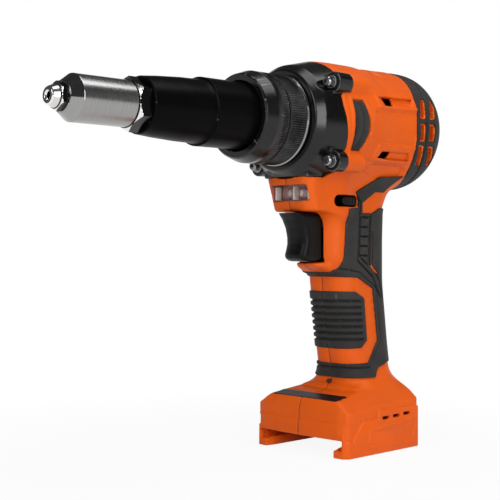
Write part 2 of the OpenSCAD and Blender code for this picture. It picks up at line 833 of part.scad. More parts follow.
module nose_sleeve() {
    color("silver") turned([[spigot_r, s_tube], [tube_r, s_tube], [tube_r, s_cone], [cone_r, s_tip],
        [stem_r + fit, s_tip], [stem_r + fit, s_tip - stem_len], [bore_r, s_tip - stem_len],
        [bore_r, s_tube + spigot_len], [spigot_r, s_tube + spigot_len]]);
}

module nosepiece() {
    color("black") difference() {
        union() {
            along(s_tip) hexagon(tip_af, tip_hex_len);
            along(s_tip - stem_len) cylinder(r = stem_r, h = stem_len + 1);
            turned([[0, s_tip + tip_hex_len - 1], [tip_cone_r, s_tip + tip_hex_len - 1],
                [tip_cone_r, s_tip + tip_hex_len], [tip_r, s_end], [0, s_end]]);
        }
        along(s_tip - stem_len - 1) cylinder(r = mandrel_r, h = far);
    }
}

module jaw_case() {
    color("gray") turned([[jaw_mouth_r, s_jaw], [jaw_case_r, s_jaw], [jaw_case_r, s_case],
        [rod_r + fit, s_case], [rod_r + fit, s_rod_front], [case_bore_r, s_rod_front],
        [case_bore_r, s_jaw_back - jaw_travel],
        [jaw_mouth_r + (jaw_len + jaw_travel) * tan(jaw_angle), s_jaw_back - jaw_travel],
        [jaw_mouth_r, s_jaw - case_lip]]);
}

module jaw(k) {
    r0 = jaw_mouth_r - jaw_slack;
    color("silver") along() rotate([0, 0, 120 * k - jaw_spread / 2]) rotate_extrude(angle = jaw_spread)
        polygon([[jaw_hole_r, s_jaw_back], [r0 + jaw_len * tan(jaw_angle), s_jaw_back],
            [r0, s_jaw - case_lip], [jaw_hole_r + 1, s_jaw - case_lip], [jaw_hole_r, s_jaw - case_lip - 2]]);
}

module jaw_1() { jaw(0); }
module jaw_2() { jaw(1); }
module jaw_3() { jaw(2); }

module jaw_pusher() {
    flange = pusher_r + 1.4;
    color("gray") turned([[pusher_bore_r, s_pusher], [flange, s_pusher], [flange, s_pusher + 2],
        [pusher_r, s_pusher + 2], [pusher_r, s_pusher + pusher_len], [pusher_bore_r, s_pusher + pusher_len]]);
}

module jaw_spring() {
    color("gray") along(s_rod_front) coil(jaw_spring_r, s_pusher - s_rod_front, spring_turns);
}

module pull_rod() {
    color("silver") difference() {
        along(s_rod) cylinder(r = rod_r, h = s_rod_front - s_rod);
        along(s_rod_front - rod_bore_len) cylinder(r = rod_bore_r, h = rod_bore_len + 1);
    }
}

module guide_bush() {
    color("goldenrod") ring(s_bush, bush_len, bore_r - fit, rod_r + fit);
}

module ball_screw() {
    length = s_rod - s_nut;
    color("silver") along(s_nut) linear_extrude(height = length, twist = -360 * length / screw_lead,
        slices = round(12 * length / screw_lead), $fn = 16) translate([screw_groove, 0]) circle(r = screw_r);
}

module ball_nut() {
    color("gray") ring(s_nut, nut_len, nut_r, nut_bore_r);
}

module thrust_bearing() {
    color("silver") ring(s_thrust + run, thrust_len - run, nut_r, bore_r);
}

module hub_bearing() {
    color("silver") ring(s_bearing, bearing_w, bearing_r, hub_r + fit);
}

module ring_gear() {
    color("gray") along(s_ring_gear) difference() {
        cylinder(r = ring_r_out, h = ring_gear_len);
        translate([0, 0, -1]) linear_extrude(height = ring_gear_len + 2) rotate(180 / ring_teeth)
            polygon(gear_outline(ring_teeth, ring_pitch_r - addendum, ring_pitch_r + dedendum, -backlash));
    }
}

module carrier_pins(s, len) {
    along(s) for (k = [0:2]) at_planet(k) cylinder(r = pin_r, h = len);
}

module second_carrier() {
    color("gray") {
        difference() {
            union() {
                along(s_hub - carrier_t) cylinder(r = carrier_r, h = carrier_t);
                along(s_hub - 1) cylinder(r = hub_r, h = s_nut - s_hub + 1);
            }
            along(s_hub + hub_stop) cylinder(r = hub_bore_r, h = far);
        }
        carrier_pins(s_second, s_hub - s_second - 1);
    }
}

module planet(k, s) {
    color("silver") along(s) at_planet(k) difference() {
        rotate(180 / sun_teeth) gear(sun_teeth, gear_face);
        translate([0, 0, -1]) cylinder(r = pin_r + fit, h = gear_face + 2);
    }
}

module second_planet_1() { planet(0, s_second); }
module second_planet_2() { planet(1, s_second); }
module second_planet_3() { planet(2, s_second); }

module first_carrier() {
    color("gray") {
        along(s_first_carrier) cylinder(r = carrier_r, h = carrier_t);
        along(s_first_carrier + 1) gear(sun_teeth, s_second + gear_face - s_first_carrier - 1);
        carrier_pins(s_first, s_first_carrier - s_first + 1);
    }
}

module first_planet_1() { planet(0, s_first); }
module first_planet_2() { planet(1, s_first); }
module first_planet_3() { planet(2, s_first); }

module motor_bracket() {
    color("gray") difference() {
        along(s_bracket) cylinder(r = skirt_r, h = bracket_t);
        along(s_bracket - 1) cylinder(r = front_bearing_r + fit, h = front_bearing_w + 1);
        along(s_bracket) cylinder(r = front_bearing_r - bearing_lip, h = far);
    }
}

module front_bearing() {
    color("silver") ring(s_bracket, front_bearing_w, front_bearing_r, shaft_r + fit);
}

module motor_shaft() {
    color("silver") {
        along(s_rear_bearing) cylinder(r = shaft_r, h = s_first - s_rear_bearing + 1);
        along(s_first) gear(sun_teeth, gear_face);
    }
}

module rotor() {
    color("gray") ring(s_stator + 1, stator_len - 2, rotor_r, shaft_r + fit);
}

module stator() {
    color("gray") ring(s_stator, stator_len, stator_r, stator_bore_r);
}

module coils() {
    color("peru") for (s = [s_stator - coil_t, s_stator + stator_len], k = [1:coil_n])
        along(s) rotate(360 / coil_n * k) rotate_extrude(angle = coil_spread)
            translate([stator_bore_r + 1, 0]) square([coil_r - stator_bore_r - 1, coil_t]);
}

module fan() {
    color("black") {
        ring(s_fan, 1.6, fan_r, shaft_r + fit);
        ring(s_fan, fan_len, fan_hub_r, shaft_r + fit);
        along(s_fan + 1) for (k = [1:fan_blades]) rotate(360 / fan_blades * k)
            translate([fan_hub_r - 1, -0.6, 0]) cube([fan_r - fan_hub_r, 1.2, fan_len - 1]);
    }
}

module rear_bearing() {
    color("silver") ring(s_rear_bearing, rear_bearing_w, front_bearing_r, shaft_r + fit);
}

module trigger() {
    color("black") translate([seat_x, 0, 0]) {
        rotate([90, 0, 0]) linear_extrude(height = 2 * trigger_w, center = true)
            polygon([[chin_low + 3.6, trigger_high], [chin_low, trigger_high - 7],
                [chin_low - 1.6, trigger_mid], [chin_low - 0.4, trigger_low + 6.5],
                [chin_low - 3.4, trigger_low + 1.4], [chin_low - 7, trigger_low],
                [-trigger_back, trigger_low], [-trigger_back, trigger_high]]);
        translate([-trigger_back - stem_back, -stem_w, trigger_mid - stem_h / 2])
            cube([stem_back + 1, 2 * stem_w, stem_h]);
    }
}

module trigger_spring() {
    color("silver") translate([seat_x - switch_front, 0, spring_z]) rotate([0, 90, 0])
        coil(trigger_spring_r, switch_front - trigger_back, spring_turns);
}

module switch_body() {
    depth = trigger_back + stem_back + trigger_travel + 1 - switch_front;
    color("dimgray") difference() {
        translate([seat_x - switch_front, 0, 0]) {
            translate([-switch_len, -switch_w, switch_low])
                cube([switch_len, 2 * switch_w, switch_high - switch_low]);
            translate([switch_front - selector_x, 0, switch_high - 1])
                cylinder(r = selector_pin_r, h = selector_z + selector_h / 2 + 2 - switch_high);
        }
        translate([seat_x - switch_front - depth, -stem_w - run, trigger_mid - stem_h / 2 - run])
            cube([depth + 1, 2 * (stem_w + run), stem_h + 2 * run]);
    }
}

module direction_selector() {
    color("black") translate([seat_x - selector_x, 0, selector_z - selector_h / 2]) difference() {
        rotate(selector_swing / 2) translate([-selector_tab / 2, -chin_w - selector_proud, 0])
            cube([selector_tab, 2 * (chin_w + selector_proud), selector_h]);
        translate([0, 0, -1]) cylinder(r = selector_pin_r + fit, h = selector_h + 2);
    }
}

module led_lens() {
    color("lightgray") translate([seat_x + lens_back, 0, lens_z]) {
        translate([0, -lens_w - lens_flange + fit, -lens_h / 2 - lens_flange + fit])
            cube([lens_ledge - fit, 2 * (lens_w + lens_flange - fit), lens_h + 2 * (lens_flange - fit)]);
        translate([1, -lens_w + fit, -lens_h / 2 + fit])
            cube([chin_low - lens_back, 2 * (lens_w - fit), lens_h - 2 * fit]);
    }
}

module led_board() {
    color("green") translate([seat_x + lens_back - 1 - board_t, 0, lens_z]) {
        translate([0, -lens_w, -lens_h / 2]) cube([board_t, 2 * lens_w, lens_h]);
        for (y = [-lamp_y, lamp_y]) translate([board_t - 0.1, y, 0]) rotate([0, 90, 0])
            cylinder(r = lamp_r, h = 1);
    }
}

module display_panel() {
    color("black") panel_plate(0);
}

module control_board() {
    color("green") translate([seat_x - board_front - board_len, -board_w / 2, board_z])
        cube([board_len, board_w, board_t]);
}

module terminal_block() {
    color("dimgray") translate([seat_x - block_back, 0, 0]) {
        translate([0, -block_w / 2, channel_h - block_drop])
            cube([block_len, block_w, floor_h - channel_h + block_drop + 1]);
        translate([-block_flange, -block_w / 2 - block_flange, floor_h])
            cube([block_len + 2 * block_flange, block_w + 2 * block_flange, block_flange]);
    }
}

module terminal_blades() {
    color("gold") for (i = [0:blade_n - 1])
        translate([seat_x - block_back + block_len, (i - (blade_n - 1) / 2) * blade_pitch - blade_t / 2,
            channel_h - block_drop])
                cube([blade_len, blade_t, blade_h]);
}

left_housing();
right_housing();
left_grip();
right_grip();
left_side_pad();
right_side_pad();
rear_bumper();
housing_screws();
gearbox_housing();
gearbox_screws();
gearbox_washers();
retaining_ring();
knurled_collar();
front_housing();
front_sleeve();
hex_locknut();
nose_sleeve();
nosepiece();
jaw_case();
jaw_1();
jaw_2();
jaw_3();
jaw_pusher();
jaw_spring();
pull_rod();
guide_bush();
ball_screw();
ball_nut();
thrust_bearing();
hub_bearing();
ring_gear();
second_carrier();
second_planet_1();
second_planet_2();
second_planet_3();
first_carrier();
first_planet_1();
first_planet_2();
first_planet_3();
motor_bracket();
front_bearing();
motor_shaft();
rotor();
stator();
coils();
fan();
rear_bearing();
trigger();
trigger_spring();
switch_body();
direction_selector();
led_lens();
led_board();
display_panel();
control_board();
terminal_block();
terminal_blades();
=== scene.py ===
# %% [markdown]
# # A cordless rivet tool
# The tool stands on its battery foot: an orange clamshell with a rubber grip, a black cast gearbox,
# and a turned steel barrel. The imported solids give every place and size. This script dresses them:
# it makes the moulded, cast and turned forms that the eye sees, and the finishes that they carry.

# %% Load the frame
import math

import bpy
import numpy as np
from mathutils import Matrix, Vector


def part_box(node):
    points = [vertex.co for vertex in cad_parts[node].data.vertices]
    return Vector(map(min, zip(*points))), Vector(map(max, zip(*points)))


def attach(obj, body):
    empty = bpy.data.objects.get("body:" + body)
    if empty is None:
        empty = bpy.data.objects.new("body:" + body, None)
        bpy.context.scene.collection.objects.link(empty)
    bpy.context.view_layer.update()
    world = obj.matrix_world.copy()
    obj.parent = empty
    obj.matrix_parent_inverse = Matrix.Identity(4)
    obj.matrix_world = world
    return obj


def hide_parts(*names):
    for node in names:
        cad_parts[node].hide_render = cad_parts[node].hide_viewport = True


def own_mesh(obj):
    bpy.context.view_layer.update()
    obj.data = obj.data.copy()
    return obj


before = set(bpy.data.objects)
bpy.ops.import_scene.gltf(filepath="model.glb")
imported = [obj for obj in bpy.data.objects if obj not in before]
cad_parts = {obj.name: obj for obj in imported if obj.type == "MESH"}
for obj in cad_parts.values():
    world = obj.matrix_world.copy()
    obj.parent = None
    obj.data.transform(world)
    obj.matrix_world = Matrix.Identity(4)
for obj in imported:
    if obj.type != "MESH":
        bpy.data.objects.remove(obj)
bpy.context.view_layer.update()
MM = 0.001


# %% [markdown]
# ## Stations
# All forms are drawn in millimetres: s runs forward along the barrel from the seat where the gearbox
# meets the housing, y runs to the tool's left, and z is the height over the floor. The seat and the
# barrel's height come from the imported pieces, so that nothing has to be fitted by eye.

# %% Places that the frame gives
def span(node):
    """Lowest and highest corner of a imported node, in millimetres."""
    low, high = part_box(node)
    return np.array(low) / MM, np.array(high) / MM


LUG_FRONT = 11.0
SEAT = span("gearbox_washers")[0][0] - LUG_FRONT
AXIS = (span("nose_sleeve")[0][2] + span("nose_sleeve")[1][2]) / 2


def stations(node):
    """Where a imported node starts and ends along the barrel, and its largest radius round the axis."""
    low, high = span(node)
    return low[0] - SEAT, high[0] - SEAT, high[2] - AXIS


print("seat at x =", round(SEAT, 2), "axis at z =", round(AXIS, 2))

# %% [markdown]
# ## Camera
# The photograph looks at the tool's left front corner from about half a metre, a little under the
# barrel. A lens of 79 mm on a 36 mm sensor gives its mild perspective.

# %% Camera
CAMERA_PLACE = (0.44484, 0.46229, 0.12577)
CAMERA_LOOK = Vector((-0.69089, -0.72294, -0.00455))
camera = bpy.data.objects.new("camera", bpy.data.cameras.new("camera"))
bpy.context.scene.collection.objects.link(camera)
camera.location = CAMERA_PLACE
camera.rotation_euler = CAMERA_LOOK.to_track_quat("-Z", "Y").to_euler()
camera.data.lens = 79.13
camera.data.sensor_width = 36
camera.data.clip_start = 0.01
bpy.context.scene.camera = camera
print("camera at", CAMERA_PLACE)


# %% [markdown]
# ## Distance fields
# Moulded and cast pieces have soft blends everywhere, which are hard to model face by face. A distance
# field says for any point how far it is from the surface, below zero inside. Forms are then joined,
# carved and blended with a few formulas, and a mesh is drawn where the field is zero.

# %% Joining and carving fields
def join(a, b, r=0.0):
    """Both forms, with a fillet of about r where they meet."""
    r = np.maximum(r, 1e-6)
    h = np.clip(0.5 + 0.5 * (b - a) / r, 0, 1)
    return b + (a - b) * h - r * h * (1 - h)


def carve(a, b, r=0.0):
    """Form a without form b, with rounded edges."""
    return -join(-a, b, r)


def common(a, b, r=0.0):
    """What two forms share, with rounded edges."""
    return -join(-a, -b, r)


def box_field(u, v, mid, half, r):
    """A rounded rectangle in the plane of u and v."""
    qu = np.abs(u - mid[0]) - half[0] + r
    qv = np.abs(v - mid[1]) - half[1] + r
    return np.hypot(np.maximum(qu, 0), np.maximum(qv, 0)) + np.minimum(np.maximum(qu, qv), 0) - r


def polygon_field(u, v, points):
    """Signed distance to a closed outline in the plane of u and v."""
    nearest = np.full_like(u, 1e9)
    inside = np.zeros(u.shape, bool)
    for (ax, ay), (bx, by) in zip(points, points[-1:] + points[:-1]):
        ex, ey = bx - ax, by - ay
        wu, wv = u - ax, v - ay
        t = np.clip((wu * ex + wv * ey) / (ex * ex + ey * ey), 0, 1)
        du, dv = wu - ex * t, wv - ey * t
        nearest = np.minimum(nearest, du * du + dv * dv)
        over, under, left = v >= ay, v < by, ex * wv > ey * wu
        inside ^= (over & under & left) | ~(over | under | left)
    return np.where(inside, -1, 1) * np.sqrt(nearest)


def path_field(u, v, points):
    """Distance to an open line through the points."""
    nearest = np.full_like(u, 1e9)
    for (ax, ay), (bx, by) in zip(points[1:], points[:-1]):
        ex, ey = bx - ax, by - ay
        wu, wv = u - ax, v - ay
        t = np.clip((wu * ex + wv * ey) / (ex * ex + ey * ey), 0, 1)
        nearest = np.minimum(nearest, np.hypot(wu - ex * t, wv - ey * t))
    return nearest


def soft_curve(places, values, blur):
    """A curve through pairs of place and value, with its corners softened over blur millimetres."""
    step = 0.25
    fine = np.arange(min(places) - 2 * blur, max(places) + 2 * blur, step)
    kernel = np.hanning(2 * int(blur / step) + 3)
    raw = np.interp(fine, places, values)
    padded = np.pad(raw, len(kernel) // 2, "edge")
    soft = np.convolve(padded, kernel / kernel.sum(), "valid")
    return lambda t: np.interp(t, fine, soft)


def ease(t):
    """A soft step from 0 to 1."""
    t = np.clip(t, 0, 1)
    return t * t * (3 - 2 * t)


print("field helpers ready")

# %% [markdown]
# ### From a field to a mesh
# Points are sampled only in small blocks near the surface. Each cell that the surface crosses gets one
# point, which is then moved along the field's slope until it lies on the surface, and cells that
# share an edge are joined by a face. A piece cut at the tool's middle gets a crisp rim there.

# %% Drawing a mesh where a field is zero
CHUNK = 1 << 16
BLOCK = 4
SLOPE_STEP = 0.04
CORNERS = np.array([(i, j, k) for i in (0, 1) for j in (0, 1) for k in (0, 1)])
CELL_EDGES = [(a, b) for a in range(8) for b in range(a) if np.abs(CORNERS[a] - CORNERS[b]).sum() == 1]


def sample(field, points):
    """The field at many points, a chunk at a time."""
    found = np.empty(len(points), np.float32)
    for i in range(0, len(points), CHUNK):
        s, y, z = np.ascontiguousarray(points[i:i + CHUNK].T)
        found[i:i + CHUNK] = field(s, y, z)
    return found


def settle(field, points, rounds, reach):
    """Moves points along the field's slope onto its surface."""
    for _ in range(rounds):
        here = sample(field, points)
        slope = np.empty_like(points)
        for axis in range(3):
            ahead = points.copy()
            ahead[:, axis] += SLOPE_STEP
            slope[:, axis] = (sample(field, ahead) - here) / SLOPE_STEP
        move = -here / np.maximum((slope ** 2).sum(1), 0.25)
        points = points + slope * np.clip(move, -reach, reach)[:, None]
    return points.astype(np.float32)


def net(field, low, high, step):
    """Points and four-sided faces of the surface of a field inside a box."""
    low = np.array(low, np.float32)
    blocks = np.ceil((np.array(high) - low) / (step * BLOCK)).astype(int)
    spots = np.indices(blocks).reshape(3, -1).T
    rough = sample(field, (low + (spots * BLOCK + 1.5) * step).astype(np.float32))
    values = rough.reshape(blocks)
    for axis in range(3):
        values = np.repeat(values, BLOCK, axis)
    near = spots[np.abs(rough) < BLOCK * step * 1.5]
    inner = np.indices((BLOCK,) * 3).reshape(3, -1).T
    fine = (near[:, None, :] * BLOCK + inner[None]).reshape(-1, 3)
    values[tuple(fine.T)] = sample(field, (low + fine * step).astype(np.float32))
    inside = values < 0
    size = np.array(inside.shape) - 1
    count = sum(inside[i:i + size[0], j:j + size[1], k:k + size[2]].astype(np.uint8) for i, j, k in CORNERS)
    cells = np.argwhere((count > 0) & (count < 8))
    at_corner = np.stack([values[tuple((cells + c).T)] for c in CORNERS], 1)
    place = np.zeros((len(cells), 3))
    crossed = np.zeros(len(cells))
    for a, b in CELL_EDGES:
        va, vb = at_corner[:, a], at_corner[:, b]
        cross = (va < 0) != (vb < 0)
        t = np.where(cross, va / np.where(cross, va - vb, 1), 0)
        place += np.where(cross[:, None], CORNERS[a] + t[:, None] * (CORNERS[b] - CORNERS[a]), 0)
        crossed += cross
    points = (low + (cells + place / crossed[:, None]) * step).astype(np.float32)
    number = np.full(size, -1)
    number[tuple(cells.T)] = np.arange(len(cells))
    faces = []
    for axis in range(3):
        ahead = np.roll(inside, -1, axis)
        edges = np.argwhere(inside != ahead)
        keep = (edges >= (axis != np.arange(3))).all(1) & (edges < size).all(1)
        edges = edges[keep]
        b, c = np.eye(3, dtype=int)[[(axis + 1) % 3, (axis + 2) % 3]]
        ring = [number[tuple((edges - off).T)] for off in (b + c, c, 0 * b, b)]
        quads = np.stack(ring, 1)
        facing = inside[tuple(edges.T)]
        faces.append(np.where(facing[:, None], quads, quads[:, ::-1]))
    return points, np.concatenate(faces)


def add_mesh(name, points, faces, sharp=40):
    """A piece from points in stations and millimetres."""
    mesh = bpy.data.meshes.new(name)
    points = np.asarray(points, float) + (SEAT, 0, 0)
    mesh.from_pydata((points * MM).tolist(), [], [list(f) for f in np.asarray(faces).tolist()])
    mesh.validate()
    mesh.shade_smooth()
    mesh.set_sharp_from_angle(angle=math.radians(sharp))
    piece = bpy.data.objects.new(name, mesh)
    bpy.context.scene.collection.objects.link(piece)
    return piece


SETTLE_ROUNDS = 3
MOULD_SHARP = 48


def thinned(piece, faces_kept, sharp):
    thin = piece.modifiers.new("fewer faces", "DECIMATE")
    thin.ratio = faces_kept
    shown = piece.evaluated_get(bpy.context.evaluated_depsgraph_get())
    piece.data = bpy.data.meshes.new_from_object(shown)
    piece.modifiers.clear()
    piece.data.set_sharp_from_angle(angle=math.radians(sharp))
    print(piece.name, len(piece.data.polygons), "faces")
    return piece


def moulded(name, field, low, high, step, faces_kept):
    """A piece whose skin is where the field is zero."""
    points, faces = net(field, low, high, step)
    points = settle(field, points, SETTLE_ROUNDS, step / 2)
    return thinned(add_mesh(name, points, faces, MOULD_SHARP), faces_kept, MOULD_SHARP)


# %% [markdown]
# ## The clamshell's forms
# The housing is a motor body, a neck, a grip and a foot that flow into one another. Each is drawn from a
# few sections, and the joins get large fillets, as in the injection mould.

# %% Motor body, neck, grip and foot
REAR_LEN = 96.5
DOME = 20.0
WALL = 2.8
SINK = 0.5
body_radius = soft_curve((-97, -68, -62, -52, -38, -29, -9, 3, 9),
                         (37.8, 37.8, 37.4, 37, 37, 38.2, 38.2, 37.6, 37.4), 4)
grip_front = soft_curve((38, 44, 52, 64, 95, 109, 117, 150), (-26, -24, -22, -19.6, -15, -13.4, -4, -4), 4)
grip_rear = soft_curve((38, 52, 64, 84, 103, 129, 150), (-66.5, -65.5, -64, -61.5, -59, -58.5, -59), 8)
grip_half = soft_curve((38, 44, 52, 64, 95, 130, 150), (20, 18.6, 17.4, 17, 17, 17.5, 17.8), 6)
neck_front = soft_curve((140, 146, 158, 168, 176), (12.5, 14, 17, 19, 19.6), 3)
neck_rear = soft_curve((140, 150, 159, 165, 172), (-59, -60, -64.5, -72, -80), 5)
neck_half = soft_curve((140, 146, 158, 168, 176), (17.6, 17.8, 18.3, 19.6, 20), 4)
foot_half = soft_curve((0, 26.5, 33, 35.5, 38, 44), (38, 38, 27.5, 23.5, 21, 19), 0.7)
foot_front = soft_curve((0, 19.8, 20.4, 26.5, 32.8, 34.6, 36.5), (6.2, 6.0, 5.2, 5.2, 2.9, -8, -20), 0.4)


def section(s, a, front, rear, half, r_front, r_rear):
    """Distance to an upright bar with a rounded outline, which may change with the height."""
    u = s - (front + rear) / 2
    r = np.where(u > 0, r_front, r_rear)
    qu = np.abs(u) - (front - rear) / 2 + r
    qa = a - half + r
    return np.hypot(np.maximum(qu, 0), np.maximum(qa, 0)) + np.minimum(np.maximum(qu, qa), 0) - r


def body_field(s, a, z):
    out = np.hypot(a, z - AXIS) - body_radius(s) + DOME
    back = -(s + REAR_LEN - DOME)
    return np.hypot(np.maximum(out, 0), np.maximum(back, 0)) + np.minimum(np.maximum(out, back), 0) - DOME


def grip_field(s, a, z):
    bar = section(s, a, grip_front(z), grip_rear(z), grip_half(z), 12, 14)
    return np.maximum(bar, np.maximum(30 - z, z - 160))


def neck_field(s, a, z):
    bar = section(s, a, neck_front(z), neck_rear(z), neck_half(z), 8, 15)
    return common(np.maximum(bar, z - 176), 146 - z, 2.2)


def foot_field(s, a, z):
    """The foot: upright sides that rise to the rear, a bowed front, and low slopes up to the grip."""
    lift = z - FOOT_RISE * np.clip((6 - s) / 69, 0, 1)
    front = foot_front(z) + FOOT_BOW * (1 - (a / 38) ** 2)
    half = foot_half(lift)
    bar = section(s, a, front, -63, half, 1.2, 2.5)
    corner = (s - front + a - half + 1.6 + 1.4 * ease((20.5 - z) / 2)) / math.sqrt(2)
    return common(common(common(bar, corner, 0.5), -z, 0.6), z - 38, 3)


def guard_field(s, a, z):
    """The short lip under the trigger."""
    half = np.interp(s, (-24, -8, 3.5), (15.5, 13, 8.5))
    plan = section(s, a, 3.5 + 0 * s, -24 + 0 * s, half, 7, 3)
    under = 109.2 + 0.36 * np.maximum(s + 9, 0)
    return common(common(plan, z - 115.1, 2.0), under - z, 4.0)


def shoulder_field(s, a, z):
    """Round bosses behind the gearbox lugs, which take the lug screws."""
    found = None
    for up, back, ahead in ((LUG_UP, -15, 0), (-LUG_DOWN, -11, 2)):
        reach = np.hypot(a - LUG_Y, z - AXIS - up)
        boss = np.hypot(np.maximum(reach - 4.1, 0), s - np.clip(s, back, ahead)) - 2.0
        found = boss if found is None else np.minimum(found, boss)
    return found


FOOT_RISE, FOOT_BOW = 4.0, 1.5
GUARD_FILLET, FINGER_FILLET, FLARE = 3.5, 11.0, 12.0
LUG_Y, LUG_UP, LUG_DOWN, LUG_R = 31.0, 21.0, 25.0, 6.3


def finger_fillet(s):
    """The neck's fillet, large over the trigger and small at the rear."""
    return 0.3 + FINGER_FILLET * ease((s + 26) / 14)


def plain_housing(s, a, z):
    """The housing's outer form without its details."""
    grip = join(grip_field(s, a, z), guard_field(s, a, z), GUARD_FILLET)
    grip = join(grip, foot_field(s, a, z), FLARE)
    stem = join(grip, neck_field(s, a, z), finger_fillet(s))
    body = np.maximum(body_field(s, a, z), s)
    return join(stem, body, 7)


print("housing forms ready")

# %% [markdown]
# ### Relief on the sides
# The motor body carries a raised plate with two vent slots, a sunk panel between them, and a seat for
# the crescent pad. They are outlines seen from the side, pressed in or out by a millimetre or two.

# %% Relief outlines, as stations and heights
UPPER_PLATE = [(-21, 219.5), (-24.4, 208.5), (-62, 209.3), (-62, 222)]
LOWER_PLATE = [(-25.2, 186.3), (-22.2, 176.8), (-62, 176.8), (-62, 187)]
PANEL = [(-21.2, 206.9), (-61.5, 207.9), (-61.5, 188.1), (-21.6, 188.4)]
SLOTS = [[(-25.4, 215.4), (-60, 216.6), (-57.3, 211.6), (-27.8, 209.9)],
         [(-30.7, 182.9), (-57.1, 183.1), (-60, 178.3), (-27.4, 178.9)]]
VENTS = [[(-30.4, 215.2), (-40.9, 215.8), (-41.3, 211), (-33, 210.8)],
         [(-33, 183), (-42, 183.1), (-40.6, 179.1), (-31.4, 179)]]
SCOOP = [(-27.9, 175.6), (-57.6, 175.8), (-62, 173.5), (-62, 168), (-44, 166), (-24, 171)]
CRESCENT = [(-1.8, 211.2), (-10.5, 211.3), (-12.8, 206.2), (-15.2, 200.4), (-15.8, 193.6), (-13, 187.6),
            (-10.2, 182.1), (-3.3, 182), (-3, 188.3), (-2.9, 193.6), (-2.7, 201.7)]
BUMPER_FRONT, GROOVE, BUMPER_BEND = -61.8, -70.6, 0.0058
WINDOWS = [[(-68.6, 217.4), (-72.3, 217), (-69, 205.7), (-65, 205.6)],
           [(-65.1, 201.5), (-68.6, 201.5), (-69, 191.5), (-65.5, 191.5)],
           [(-65.5, 188), (-69.2, 187.9), (-73, 176.9), (-69.4, 176.9)],
           [(-78.5, 217.3), (-81.1, 216.8), (-81.8, 212.2), (-79, 206), (-74.6, 205.6)],
           [(-73.9, 201.4), (-78.4, 201.7), (-78.9, 192.1), (-74.1, 192)],
           [(-74.6, 187.8), (-79.4, 187.8), (-82.6, 183.1), (-83.4, 177.4), (-80, 177.4)]]
FOOT_VENTS = [(-30.2, 21), (-40.3, 21.3), (-50.4, 21.7)]
FOOT_PLATE = [(-70, 25), (-24.5, 26.3), (-22.9, 20.9), (-9.1, 20.4), (0.2, 9.3), (4, 11), (9, 17),
              (9, -4), (-70, -4)]
NAMEPLATE = [(-14.4, 9.5), (-16, 14.1), (-19.7, 15), (-56.3, 18), (-58.6, 14), (-55, 4), (-15.5, 5)]


def bumper_zone(s, z):
    """Below zero behind the bumper's bowed front edge."""
    return s - BUMPER_FRONT + BUMPER_BEND * (z - AXIS) ** 2


def press(field, depth, soft=1.0):
    """A height that is depth inside an outline and 0 outside, with a soft edge."""
    return depth * ease(0.5 - field / soft)


def side_relief(s, z):
    """How far the sides stand out from the plain body."""
    rise = press(polygon_field(s, z, UPPER_PLATE), 1.0, 0.9)
    rise += press(polygon_field(s, z, LOWER_PLATE), 1.0, 0.9)
    rise -= press(polygon_field(s, z, PANEL), 0.8, 0.8)
    for outline in SLOTS:
        rise -= press(polygon_field(s, z, outline), 2.0, 0.7)
    pad = polygon_field(s, z, CRESCENT)
    rise -= press(pad - 0.3, 1.7, 0.5)
    rise += press(np.abs(pad - 2.2) - 0.9, 0.5, 1.3)
    rise -= press(polygon_field(s, z, SCOOP), 1.6, 1.8)
    return rise


def top_relief(s, a):
    """A low raised pad on top of the body, before the bumper."""
    return press(box_field(s, a, (-54, 0), (9.5, 20), 4), 0.8, 1.2)


PLATE_RISE = 0.9


def foot_relief(s, z):
    rise = press(polygon_field(s, z, FOOT_PLATE), PLATE_RISE, 0.6) - PLATE_RISE
    rise += press(np.abs(polygon_field(s, z, NAMEPLATE)) - 0.5, 0.5, 0.7)
    return rise


print("relief outlines:", 5 + len(SLOTS) + len(VENTS) + len(WINDOWS))

# %% [markdown]
# ### One half of the housing
# Each half is the whole form cut at the middle, hollowed, with the openings for the trigger, the
# selector, the lamps, the battery and the screws. The right half has the screw holes.

# %% Housing halves
POCKET_HALF = 9.3
SCREWS = [(-30, AXIS + 32, 14), (-54, AXIS + 32, 14), (-53, 142, 11), (-34, 106, 12), (-47, 62, 12),
          (-10, 163.5, 13), (-10, 24, 31), (-57, 24, 31)]
CHIN_TOP = AXIS - 34
RIM_SINK = 0.35
RIM_PROBE = 0.02
FLANGE = [(0, 37.4), (3.0, 37.2), (18.6, 33.6), (24, 30.0)]
RUBBER_SEAT = 1.3
LUG_ENDS = ((LUG_UP, -1.2), (-LUG_DOWN, 3.0))
DECK_TURN = math.atan2(1.8, 10.5)


def deck(s, z):
    """Places along and over the foot's deck, from its front edge."""
    back, up = 3.0 - s, z - 32.7
    return (back * math.cos(DECK_TURN) + up * math.sin(DECK_TURN),
            up * math.cos(DECK_TURN) - back * math.sin(DECK_TURN))


def selector_slot(s, z):
    return box_field(s, z, (-16.2, 152.6), (11.6, 3.6), 3.5)


def chin_height(s):
    """Where the chin ends under the gearbox: flat, higher at the seat, and up to the bevel in front."""
    flat = CHIN_TOP + 3.2 * ease((6 - s) / 6.5)
    return np.maximum(flat, AXIS - np.interp(s, *zip(*FLANGE)))


